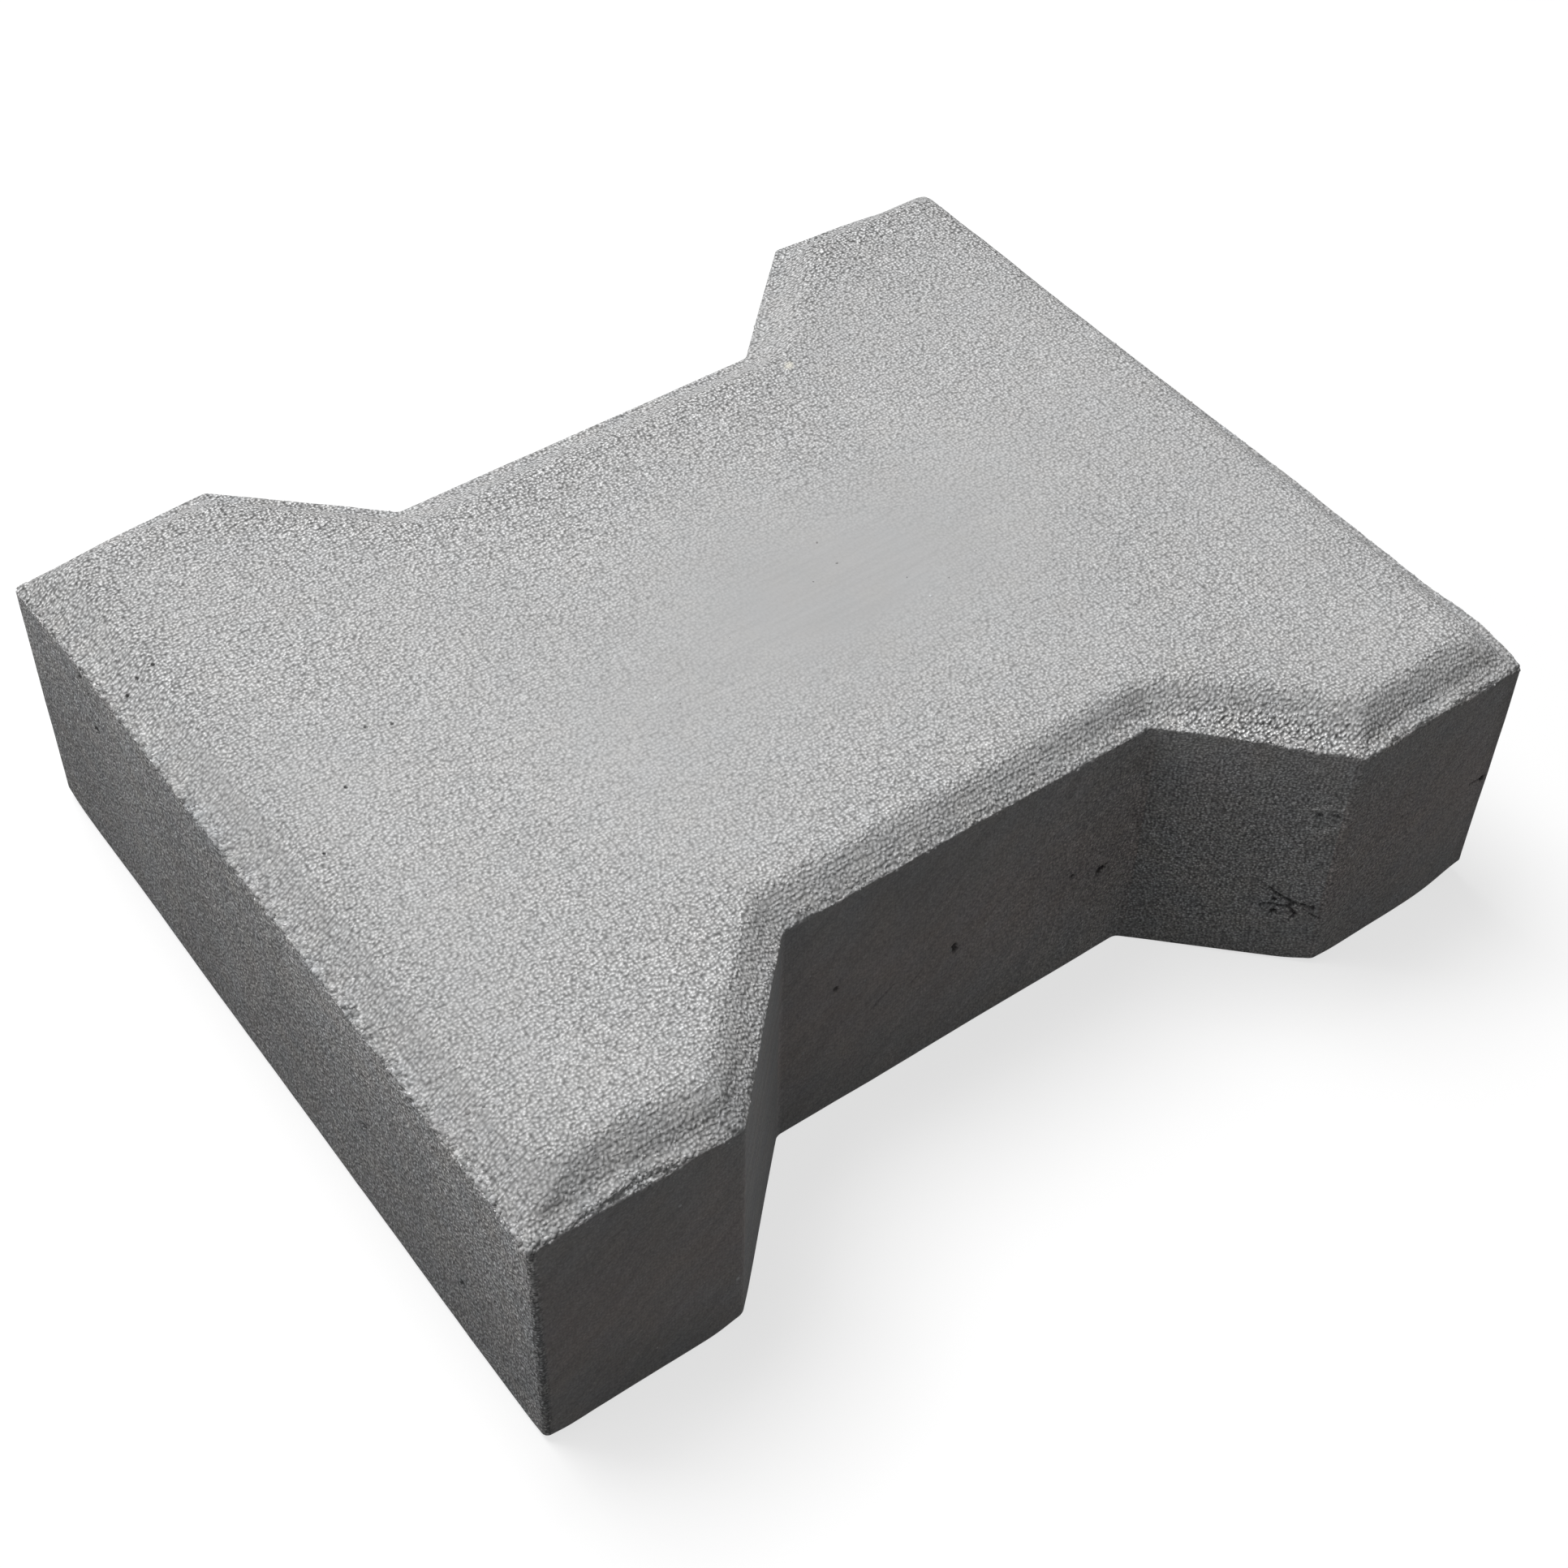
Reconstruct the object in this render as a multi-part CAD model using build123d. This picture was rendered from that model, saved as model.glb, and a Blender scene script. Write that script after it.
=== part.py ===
from build123d import *
import os

# Interlocking paving brick, pressed in one piece from fly ash, sand and cement.
# From above it is an I: a flange at each end, a narrower web between them, and a notch in each long
# side. The flanges of the next row of bricks lie in the notches, so that a laid floor locks together.
# Millimetres. +X runs along the length, +Y across the flanges and +Z up. The origin is the middle of
# the underside, and the walking face is on top.

# Plan
length = 200.0  # over the two straight ends
width = 165.0  # over the flanges
notch_depth = 25.0  # from the flange tips to the web
web_length = 75.0  # straight floor of a notch, which takes two flange tips side by side
tip_length = web_length / 2  # straight tip of one flange
thickness = 60.0  # underside to walking face

# Upright corners, seen in plan
end_corner_radius = 3.0
tip_corner_radius = 2.0
root_corner_radius = 5.0

# Pressed edge round the walking face: a narrow lip, a cove, a slope and a rolled crest
edge_drop = 4.5  # from the walking face down to the lip
edge_width = 7.0  # lip and slope together
lip_width = 2.0
lip_arris_radius = 0.5
cove_radius = 2.5
cove_corner_radius = 1.5  # least corner radius of the slope's foot
crest_radius = 5.0
crest_corner_radius = 4.0  # least corner radius of the slope's top

underside_arris_radius = 1.0

lip_height = thickness - edge_drop


def plan(inset, least_radius=0.0):
    """The I-shaped outline, moved inwards by inset on every side, with its corners rounded."""
    quarter = [
        (length / 2, width / 2),
        (length / 2 - tip_length, width / 2),
        (web_length / 2, width / 2 - notch_depth),
    ]
    upper = quarter + [(-x, y) for x, y in reversed(quarter)]
    lower = [(-x, -y) for x, y in upper]
    outline = make_face(Polyline(*upper, *lower, close=True))
    if inset > 0:
        outline = offset(outline, amount=-inset, kind=Kind.INTERSECTION)

    columns = outline.vertices().group_by(Axis.X)
    ends = columns[0] + columns[-1]
    tips = columns[1] + columns[-2]
    roots = columns[2] + columns[-3]
    outline = round_corners(outline, ends, max(end_corner_radius - inset, least_radius))
    outline = round_corners(outline, tips, max(tip_corner_radius - inset, least_radius))
    outline = round_corners(outline, roots, root_corner_radius + inset)
    return outline


def round_corners(outline, corners, radius):
    """Round those corners of an outline that lie where the given vertices do."""
    places = [corner.center() for corner in corners]
    found = [v for v in outline.vertices() if min((v.center() - p).length for p in places) < 0.01]
    return fillet(found, radius)


def loop_edges(solid, outline, height):
    """The edges of a solid that lie on an outline drawn at one height."""
    border = (Pos(0, 0, height) * outline).face().outer_wire()
    return [e for e in solid.edges() if border.distance_to(Vertex(*(e @ 0.5))) < 0.01
            and border.distance_to(Vertex(*(e @ 0.1))) < 0.01]


def paving_brick():
    """One solid: the upright body, then the crown inside its lip, then the rolled crest."""
    body_plan = plan(0.0)
    foot_plan = plan(lip_width, cove_corner_radius)
    top_plan = plan(edge_width, crest_corner_radius)

    body = extrude(body_plan, lip_height)
    body = fillet(loop_edges(body, body_plan, lip_height), lip_arris_radius)
    body = fillet(loop_edges(body, body_plan, 0.0), underside_arris_radius)

    crown = loft([Pos(0, 0, lip_height) * foot_plan, Pos(0, 0, thickness) * top_plan], ruled=True)
    brick = body + crown
    brick = fillet(loop_edges(brick, top_plan, thickness), crest_radius)
    brick = fillet(loop_edges(brick, foot_plan, lip_height), cove_radius)
    return brick


os.makedirs("parts", exist_ok=True)
brick = paving_brick()
export_step(brick, "parts/paving_brick.step")
print("volume", round(brick.volume / 1e3, 1), "cm3, box", brick.bounding_box().size)
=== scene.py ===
# %% [markdown]
# # An interlocking paving brick of pressed fly ash
#
# The brick is one piece: damp fly ash, sand and cement are pressed in a steel mould and left to harden.
# Seen from above it is an I. A flange at each end is joined by a narrower web, and the notches beside the
# web take the flanges of the next row of bricks. Only the walking face has a pressed edge round it.
#
# The solid of the brick is loaded first. It fixes every size, and it is never moved or changed.

# %% Load the solid
import math
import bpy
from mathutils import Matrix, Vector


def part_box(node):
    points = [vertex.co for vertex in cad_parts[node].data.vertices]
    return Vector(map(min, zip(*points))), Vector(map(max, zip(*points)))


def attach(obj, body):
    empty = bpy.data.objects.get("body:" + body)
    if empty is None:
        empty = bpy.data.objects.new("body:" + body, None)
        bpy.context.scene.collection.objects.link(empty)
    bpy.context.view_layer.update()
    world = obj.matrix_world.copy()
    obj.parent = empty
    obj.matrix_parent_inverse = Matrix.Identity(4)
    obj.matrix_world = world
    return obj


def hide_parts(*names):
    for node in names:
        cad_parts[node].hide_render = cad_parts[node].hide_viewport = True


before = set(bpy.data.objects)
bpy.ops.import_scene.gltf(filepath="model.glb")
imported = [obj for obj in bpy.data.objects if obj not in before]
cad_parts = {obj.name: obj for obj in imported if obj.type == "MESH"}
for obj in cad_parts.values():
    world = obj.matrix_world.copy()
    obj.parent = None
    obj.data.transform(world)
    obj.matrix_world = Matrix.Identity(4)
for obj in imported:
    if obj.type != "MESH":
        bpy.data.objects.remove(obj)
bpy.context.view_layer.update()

from types import SimpleNamespace

import bmesh
import bpy
import numpy as np
from mathutils import Matrix, Vector
from mathutils.geometry import delaunay_2d_cdt
from mathutils.kdtree import KDTree

NODE = "paving_brick"
BODY = "root"
MM = 0.001  # one millimetre, in metres

# %% [markdown]
# ## The sizes
#
# The outer sizes come from the solid, and the rest repeats its drawing, in millimetres. The pressed edge
# has four parts, from the wall inwards: a narrow flat lip, a small cove, a slope and a rolled crest.

# %% Sizes in millimetres
low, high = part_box(NODE)
length, width, thickness = [(b - a) / MM for a, b in zip(low, high)]
notch_depth = 25.0
web_length = 75.0
tip_length = web_length / 2

edge_drop = 4.5  # from the walking face down to the lip
edge_width = 7.0  # lip and slope together, seen from above
lip_width = 2.0
lip_arris_radius = 0.5
cove_radius = 2.5
crest_radius = 5.0
underside_radius = 1.0
lip_height = thickness - edge_drop
face_level = round(thickness, 3)
half_length = length / 2
half_width = width / 2
web_face = half_width - notch_depth  # from the middle to the floor of a notch
slope_angle = math.atan2(edge_drop, edge_width - lip_width)
print("slope of the pressed edge:", round(math.degrees(slope_angle), 1), "degrees")

# %% [markdown]
# ## The base mesh: rings stacked round the I
#
# A modeller could extrude the outline and bevel its edges, but bevels of different sizes meet badly at the
# inner corners of the notches. Here the brick is drawn as a stack of rings, as a potter would build it.
# Each ring is the I moved inwards by some distance, at some height, and every ring has its points in the
# same order, so that neighbouring rings join with plain quads. Mitred corners and their radii then stay
# exact, and the rings can be set close together where the edge is worn. The corners of the real brick are
# sharper than the drawing's, and two of them differ: the near left one is crisp, the near right one blunt.

# %% One ring of points round the I
coarse_step = 0.95  # between points on the walls
corner_steps = {"end": 6, "crisp": 6, "blunt": 6, "tip": 4, "root": 6}
corner_stations = {  # at each inset the radius of the corner
    "end": {0.0: 1.2, lip_width: 1.5, edge_width: 4.0},
    "crisp": {0.0: 1.2, lip_width: 1.2, edge_width: 8.0},
    "blunt": {0.0: 1.0, lip_width: 3.0, edge_width: 5.0},
    "tip": {0.0: 2.0, 0.5: 1.5, lip_width: 1.5, edge_width: 4.0},
    "root": {0.0: 2.0, edge_width: 12.0},
}


def corners_of_the_i(inset):
    """The twelve sharp corners, anticlockwise from above, of the I moved inwards, each with its kind."""
    quarter = [("end", half_length, half_width),
               ("tip", half_length - tip_length, half_width),
               ("root", web_length / 2, web_face)]
    far_side = quarter + [(kind, -x, y) for kind, x, y in reversed(quarter)]
    whole = far_side + [(kind, -x, -y) for kind, x, y in far_side]
    whole[len(far_side)] = ("crisp", -half_length, -half_width)
    whole[-1] = ("blunt", half_length, -half_width)
    places = np.array([(x, y) for kind, x, y in whole])
    ahead = np.roll(places, -1, axis=0) - places
    ahead /= np.linalg.norm(ahead, axis=1)[:, None]
    outward = np.column_stack((ahead[:, 1], -ahead[:, 0]))
    before = np.roll(outward, 1, axis=0)
    mitre = (outward + before) / (1 + np.sum(outward * before, axis=1))[:, None]
    return [kind for kind, x, y in whole], places - inset * mitre


def corner_radius(kind, inset):
    """Corners grow sharper down to the foot of the slope, and rounder again up to its crest."""
    stations = corner_stations[kind]
    return np.interp(inset, list(stations), list(stations.values()))


def heading(start, end):
    """The direction from one point to another, with a length of one."""
    return (end - start) / np.linalg.norm(end - start)


def turn_between(come, leave):
    """The angle from one direction to the next, positive to the left."""
    return math.atan2(come[0] * leave[1] - come[1] * leave[0], come @ leave)


def rounded_corner(sharp, come, leave, radius, steps):
    """Points and outward directions on the arc that rounds one sharp corner."""
    turn = turn_between(come, leave)
    left = np.array((-come[1], come[0])) * math.copysign(1, turn)
    start = sharp - come * radius * math.tan(abs(turn) / 2)
    points, outward = [], []
    for i in range(steps + 1):
        swept = abs(turn) * i / steps
        points.append(start + radius * (math.sin(swept) * come + (1 - math.cos(swept)) * left))
        along = math.cos(swept) * come + math.sin(swept) * left
        outward.append((along[1], -along[0]))
    return points, outward


def ring(inset, fine=1):
    """Points and outward directions round the I; a fine ring has twice as many points."""
    kinds, sharp = corners_of_the_i(inset)
    plain = corners_of_the_i(0.0)[1]
    headings = [heading(start, end) for start, end in zip(sharp, np.roll(sharp, -1, axis=0))]
    points, outward = [], []
    for k, kind in enumerate(kinds):
        come, leave = headings[k - 1], headings[k]
        arc_points, arc_outward = rounded_corner(sharp[k], come, leave, corner_radius(kind, inset),
                                                 corner_steps[kind] * fine)
        points += arc_points
        outward += arc_outward

        after = (k + 1) % len(kinds)
        next_turn = abs(turn_between(leave, headings[after]))
        begin = points[-1]
        end = sharp[after] - leave * corner_radius(kinds[after], inset) * math.tan(next_turn / 2)
        steps = round(np.linalg.norm(plain[after] - plain[k]) / coarse_step) * fine
        for i in range(1, steps):
            points.append(begin + (end - begin) * i / steps)
            outward.append((leave[1], -leave[0]))
    return np.array(points), np.array(outward)


wall_ring = ring(0.0)[0]
print("points round a wall ring:", len(wall_ring), " round a fine ring:", len(ring(0.0, 2)[0]))

# %% [markdown]
# The profile says at which inset and height each ring lies. It climbs from the underside over the small
# arris at the bottom, up the wall, over the lip's arris, across the lip and up the pressed edge.

# %% The profile, from the underside to the walking face
wall_rows = 28
first_fine_height = lip_height - 2.0  # from here up the rings have twice as many points
fine_row_step = 0.5
arc_rows = 3
slope_rows = 6
crest_rows = 5


def arc(centre, radius, start, end, steps):
    """Points (inset, height) on an arc, from one angle to another in degrees, with both its ends."""
    angles = np.radians(np.linspace(start, end, steps + 1))
    return [(centre[0] + radius * math.cos(a), centre[1] + radius * math.sin(a)) for a in angles]


def profile():
    """Rows (inset, height, fineness) up the outside of the brick."""
    half = slope_angle / 2
    cove_centre = (lip_width - cove_radius * math.tan(half), lip_height + cove_radius)
    crest_centre = (edge_width + crest_radius * math.tan(half), thickness - crest_radius)
    slope = math.degrees(slope_angle)
    underside = arc((underside_radius, underside_radius), underside_radius, 270, 180, arc_rows)
    wall = [(0.0, h) for h in np.linspace(underside_radius, first_fine_height, wall_rows)[1:]]
    upper_wall = [(0.0, first_fine_height + fine_row_step * i) for i in (1, 2)]
    arris = arc((lip_arris_radius, lip_height - lip_arris_radius), lip_arris_radius, 180, 90, arc_rows)
    cove = arc(cove_centre, cove_radius, 270, 270 + slope, arc_rows)
    crest = arc(crest_centre, crest_radius, 90 + slope, 90, crest_rows)
    foot, head = np.array(cove[-1]), np.array(crest[0])
    climb = [tuple(foot + (head - foot) * i / slope_rows) for i in range(1, slope_rows)]
    coarse = [(*row, 1) for row in underside + wall]
    fine = [(*row, 2) for row in upper_wall + arris + cove + climb + crest]
    return coarse + fine


rows = profile()
print(len(rows), "rings, the last", round(rows[-1][0], 2), "mm inside the wall")

# %% [markdown]
# The two flat faces are filled with small triangles, close together on the walking face, where the grain
# is, and wide apart on the underside. A Delaunay fill keeps the triangles even right up to the ring.

# %% Join the rings and fill both faces
face_step = 1.15
underside_step = 4.5
clear_of_ring = 0.6  # a filling point keeps this share of a step away from the ring
same_place = 1e-6


def inset_of(points):
    """How far inside the sharp outline of the I each point lies, with mitred corners."""
    x, y = np.abs(points[:, 0]), np.abs(points[:, 1])
    from_web = web_face - y
    from_slope = (x - web_length / 2 + from_web) / math.sqrt(2)
    return np.minimum(np.minimum(half_length - x, half_width - y), np.maximum(from_web, from_slope))


def fill(border, step, inset, up):
    """Triangles that fill a ring, as points inside it and corners counted from the ring's own points."""
    xs = np.arange(-half_length, half_length, step)
    ys = np.arange(-half_width, half_width, step * math.sqrt(0.75))  # rows of even-sided triangles
    grid = np.array([(x + step / 2 * (j % 2), y) for j, y in enumerate(ys) for x in xs])
    grid = grid[inset_of(grid) > inset + step * clear_of_ring]
    both = np.vstack((border, grid))
    loop = list(range(len(border)))
    made = delaunay_2d_cdt([Vector(p) for p in both], [], [loop], 1, same_place)
    points, triangles, origins = made[0], made[2], made[3]
    back = [origin[0] for origin in origins]
    turned = []
    for a, b, c in triangles:
        side = (points[b] - points[a]).cross(points[c] - points[a])
        turned.append((back[a], back[b], back[c]) if (side > 0) == up else (back[a], back[c], back[b]))
    return grid, turned


def faces_between(below, above, count, count_above):
    """Faces between two rings that start at these points. Triangles fit a fine ring to a coarse one."""
    faces = []
    for j in range(count):
        k = (j + 1) % count
        if count == count_above:
            faces.append((below + j, below + k, above + k, above + j))
        else:
            left, middle, right = above + 2 * j, above + 2 * j + 1, above + 2 * k
            faces += [(below + j, below + k, middle), (below + j, middle, left), (below + k, right, middle)]
    return faces


def join_rings():
    """The closed base mesh: places in millimetres, faces, and each point's outward direction."""
    places, outward, starts, faces = [], [], [], []
    for inset, height, fine in rows:
        points, away = ring(inset, fine)
        starts.append(sum(len(p) for p in places))
        places.append(np.column_stack((points, np.full(len(points), height))))
        outward.append(np.column_stack((away, np.zeros(len(away)))))
    for i in range(len(rows) - 1):
        faces += faces_between(starts[i], starts[i + 1], len(places[i]), len(places[i + 1]))

    for row, step, up in ((0, underside_step, False), (len(rows) - 1, face_step, True)):
        border = places[row][:, :2]
        first_inner = sum(len(p) for p in places)
        grid, triangles = fill(border, step, rows[row][0], up)
        own = starts[row]
        size = len(border)
        faces += [tuple(own + v if v < size else first_inner + v - size for v in t) for t in triangles]
        places.append(np.column_stack((grid, np.full(len(grid), rows[row][1]))))
        outward.append(np.zeros((len(grid), 3)))
    return np.vstack(places), np.vstack(outward), faces


base_places, base_outward, base_faces = join_rings()
print(len(base_places), "points and", len(base_faces), "faces in the base mesh")


# %% [markdown]
# ## The brick's own marks
#
# No two bricks are alike. This one has pinholes where air was caught under the press, larger pores in its
# sides, a ring-shaped scuff and a net of short cracks on the rough slope, a few scratches, and one pale
# grain in its walking face. They could be painted, but then they would vanish from the mesh. So each mark
# is a place on the surface with a reach and a depth in millimetres, and a negative depth stands proud. The
# mesh is split into smaller faces round each mark, so that it is a real hollow and not only a dark dot.

# %% Places on the brick's walls
line_step = 0.35  # between the marks that make up a line


def on_face(x, y):
    """A place on the walking face."""
    return (x, y, face_level)


def on_left_end(y, height):
    """A place on the left end's wall."""
    return (-half_length, y, height)


def on_web(x, height):
    """A place on the floor of the near notch."""
    return (x, -web_face, height)


def on_slope(x, height):
    """A place on the near right side of the notch."""
    return (x, -(x + web_face - web_length / 2), height)


def on_tip(x, height):
    """A place on the near tip of a flange."""
    return (x, -half_width, height)


def line(where, points, reach, depth):
    """Small overlapping marks along a bent line on one wall."""
    made = []
    for (x, a), (next_x, b) in zip(points, points[1:]):
        count = max(2, round(math.hypot(next_x - x, b - a) / line_step))
        made += [(where(x + (next_x - x) * i / count, a + (b - a) * i / count), reach, depth)
                 for i in range(count + 1)]
    return made


print("places are given on the face, the left end, the web, the slope and the tips")

# %% Pinholes, pores and the pale grain
pinholes = [  # place, reach and depth
    ((-97.1, 44.8, 56.2), 0.5, 0.6), ((-95.1, 45.9, 58.0), 0.45, 0.6), ((-92.2, 45.7, 59.8), 0.45, 0.6),
    (on_face(-69.6, 13.0), 0.42, 0.6), (on_face(-65.8, 11.2), 0.4, 0.5), (on_face(-78.7, 3.4), 0.4, 0.5),
    (on_face(-88.8, -6.5), 0.42, 0.5),
]
pores = [
    (on_left_end(-60.6, 17.2), 1.0, 0.9), (on_left_end(-70.7, 25.5), 0.6, 0.6),
    (on_left_end(-32.3, 26.0), 1.2, 0.3), (on_left_end(55.2, 40.7), 1.2, 0.9),
    (on_left_end(55.1, 49.5), 0.9, 0.4), (on_left_end(54.1, 47.2), 0.7, 0.4),
    (on_left_end(56.8, 52.6), 1.0, 0.5),
    (on_web(-1.5, 25.9), 0.9, 0.8), (on_web(-1.2, 24.7), 0.8, 0.8), (on_web(31.5, 23.5), 1.0, 0.8),
    (on_web(30.9, 23.0), 1.0, 0.8), (on_web(32.4, 24.1), 0.5, 0.3), (on_web(24.6, 26.1), 0.7, 0.5),
    (on_web(-26.4, 32.8), 0.8, 0.4),
    (on_tip(77.4, 30.2), 0.5, 0.2), (on_tip(97.6, 27.2), 1.0, 0.7),
]
pale_grain = (on_face(39.5, 47.8), 1.4, -0.45)
print(len(pinholes), "pinholes and", len(pores), "pores")

# %% The scuff, the scratches and the net of cracks
scuff = (line(on_slope, [(58.3, 40.4), (60.0, 41.7), (62.1, 40.5)], 0.7, -0.22)
         + line(on_slope, [(57.9, 35.5), (59.6, 34.7), (61.2, 36.5)], 0.75, -0.2)
         + line(on_slope, [(62.5, 41.2), (62.7, 38.8), (62.1, 36.7)], 0.6, -0.15)
         + [(on_slope(58.9, 39.3), 0.9, 0.4), (on_slope(60.9, 39.5), 0.8, 0.3)])
scratches = (line(on_web, [(-18.5, 21.8), (-16.7, 23.3), (-14.3, 24.9)], 0.45, 0.12)
             + line(on_web, [(-10.6, 22.6), (-8.4, 24.4)], 0.4, 0.1)
             + line(on_web, [(11.9, 24.2), (15.7, 25.6)], 0.4, 0.1)
             + line(on_tip, [(94.9, 27.4), (97.4, 27.2)], 0.4, 0.25))
long_crack = [(55.2, 18.9), (56.1, 17.9), (56.9, 17.0), (57.9, 16.3), (58.7, 15.8), (60.9, 15.1)]
cracks = (line(on_slope, long_crack, 0.5, 0.6)
          + line(on_slope, [(54.5, 14.4), (55.9, 15.0), (56.9, 14.5), (57.6, 14.9), (58.7, 15.8)], 0.45, 0.5)
          + line(on_slope, [(57.6, 14.9), (58.4, 13.9), (58.9, 13.0), (58.7, 12.1)], 0.45, 0.5)
          + line(on_slope, [(60.7, 13.4), (61.9, 12.5)], 0.4, 0.35)
          + [(on_slope(55.3, 18.8), 0.7, 0.7), (on_slope(56.0, 16.1), 0.6, 0.6),
             (on_slope(56.2, 12.9), 0.9, 1.0), (on_slope(58.9, 13.0), 0.7, 0.8),
             (on_slope(60.8, 15.2), 0.8, 0.8)])
marks = pinholes + pores + scuff + scratches + cracks + [pale_grain]
print(len(marks), "marks,", len(cracks), "of them in the net of cracks")

# %% Turn the arrays into a mesh and split the faces round the marks
split_reaches = (2.4, 1.5, 0.95)  # each pass halves the edges within this many millimetres of a mark


def split_near_marks(mesh):
    """Makes the faces smaller round each mark."""
    work = bmesh.new()
    work.from_mesh(mesh)
    bmesh.ops.delete(work, geom=[v for v in work.verts if not v.link_faces], context="VERTS")
    centres = KDTree(len(marks))
    for i, (place, reach, depth) in enumerate(marks):
        centres.insert(Vector(place) * MM, i)
    centres.balance()
    for split_reach in split_reaches:
        close_edges = [e for e in work.edges
                       if centres.find((e.verts[0].co + e.verts[1].co) / 2)[2] < split_reach * MM]
        bmesh.ops.subdivide_edges(work, edges=close_edges, cuts=1, use_grid_fill=True)
        bmesh.ops.triangulate(work, faces=[f for f in work.faces if len(f.verts) > 4])
    work.to_mesh(mesh)
    work.free()


def base_mesh():
    """The closed mesh in metres, finer round the marks, with the attributes that the wear follows."""
    mesh = bpy.data.meshes.new("brick_base")
    mesh.from_pydata(base_places * MM, [], base_faces)
    outward = mesh.attributes.new("outward", "FLOAT_VECTOR", "POINT")
    outward.data.foreach_set("vector", base_outward.astype(np.float32).ravel())
    split_near_marks(mesh)
    places = np.empty(len(mesh.vertices) * 3)
    mesh.vertices.foreach_get("co", places)
    inset = mesh.attributes.new("inset", "FLOAT", "POINT")
    inset.data.foreach_set("value", inset_of(places.reshape(-1, 3) / MM).astype(np.float32))
    return mesh


brick_base = base_mesh()
brick_base.calc_loop_triangles()
print(len(brick_base.loop_triangles), "triangles in the base mesh")

# %% [markdown]
# ## Helpers for node trees
#
# Geometry and shader trees are both built in the script, and it is easy to lose one's way in a tree of two
# hundred nodes. So one helper makes a tree with named inputs and outputs, and one places a node and feeds
# its inputs. The others name the steps that come back again and again. With them a tree reads almost like
# a formula, and each step below is a function of a few lines.

# %% Helpers that make a tree and place a node
def new_tree(name, kind, inputs, outputs):
    """A node group with named sockets. Returns the tree, what comes in, and what goes out."""
    tree = bpy.data.node_groups.new(name, kind)
    for label, socket_type, value in inputs:
        socket = tree.interface.new_socket(label, in_out="INPUT", socket_type=socket_type)
        if value is not None:
            socket.default_value = value
    for label, socket_type in outputs:
        tree.interface.new_socket(label, in_out="OUTPUT", socket_type=socket_type)
    return tree, tree.nodes.new("NodeGroupInput").outputs, tree.nodes.new("NodeGroupOutput").inputs


def put(tree, kind, feeds=None, **settings):
    """One node. Each feed is a number, or another node's output to link to that input."""
    made = tree.nodes.new(kind)
    for name, value in settings.items():
        setattr(made, name, value)
    for key, value in (feeds or {}).items():
        if isinstance(value, bpy.types.NodeSocket):
            tree.links.new(value, made.inputs[key])
        else:
            made.inputs[key].default_value = value
    return made


print("tree helpers ready")

# %% Helpers for numbers
def sum_of(tree, operation, *values):
    """One Math node's result."""
    return put(tree, "ShaderNodeMath", dict(enumerate(values)), operation=operation).outputs[0]


def product(tree, first, *others):
    """All the values multiplied together."""
    for value in others:
        first = sum_of(tree, "MULTIPLY", first, value)
    return first


def total(tree, *terms):
    """The sum of weighted values, each term a pair (weight, value)."""
    result = 0.0
    for weight, value in terms:
        result = sum_of(tree, "MULTIPLY_ADD", value, weight, result)
    return result


def weighted(tree, weights, **values):
    """The sum of named values, each times the weight of the same name, and of the weight named plain."""
    return total(tree, *[(weights[name], value) for name, value in values.items()], (weights["plain"], 1.0))


def graded(tree, value, start, end, first=0.0, last=1.0, kind="LINEAR"):
    """Goes from first to last while value goes from start to end, and stays level outside them."""
    return put(tree, "ShaderNodeMapRange", {0: value, 1: start, 2: end, 3: first, 4: last},
               interpolation_type=kind).outputs[0]


def hump(tree, offset, reach):
    """A soft bell: 1 where offset is zero, falling off over reach."""
    share = sum_of(tree, "DIVIDE", offset, reach)
    return sum_of(tree, "EXPONENT", product(tree, share, share, -1.0))


def band(tree, value, middle, reach):
    """A soft bell: 1 where value is middle, falling off over reach."""
    return hump(tree, sum_of(tree, "SUBTRACT", value, middle), reach)


print("number helpers ready")

# %% Helpers for places
def vector_of(tree, operation, *values, scale=None):
    """One Vector Math node's result."""
    feeds = dict(enumerate(values))
    if scale is not None:
        feeds["Scale"] = scale
    return put(tree, "ShaderNodeVectorMath", feeds, operation=operation).outputs[0]


def measure_of(tree, operation, *values):
    """One Vector Math node's single number, such as a length or a distance."""
    return put(tree, "ShaderNodeVectorMath", dict(enumerate(values)), operation=operation).outputs["Value"]


def in_millimetres(tree, place):
    """A place in metres, counted in millimetres."""
    return vector_of(tree, "SCALE", place, scale=1 / MM)


def parts_of(tree, vector):
    """The three numbers of a vector."""
    return put(tree, "ShaderNodeSeparateXYZ", {0: vector}).outputs


def vector_from(tree, *numbers):
    """A vector from three numbers."""
    return put(tree, "ShaderNodeCombineXYZ", dict(enumerate(numbers))).outputs[0]


def near(tree, place, middle, reach):
    """A soft bell round a spot, falling off over reach."""
    return hump(tree, measure_of(tree, "DISTANCE", place, middle), reach)


def around(tree, place, spots):
    """The sum of soft bells round a few spots, each with its own reach and height."""
    result = 0.0
    for centre, reach, amount in spots:
        result = sum_of(tree, "MULTIPLY_ADD", near(tree, place, centre, reach), amount, result)
    return result


print("place helpers ready")

# %% Helpers for noise
def noise_at(tree, place, scale, detail=0.0, colour=False):
    """Noise centred on zero: one number, or three when colour is asked for."""
    feeds = {"Vector": place, "Scale": scale, "Detail": detail}
    made = put(tree, "ShaderNodeTexNoise", feeds)
    if colour:
        return vector_of(tree, "SUBTRACT", made.outputs[1], (0.5, 0.5, 0.5))
    return sum_of(tree, "SUBTRACT", made.outputs[0], 0.5)


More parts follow.
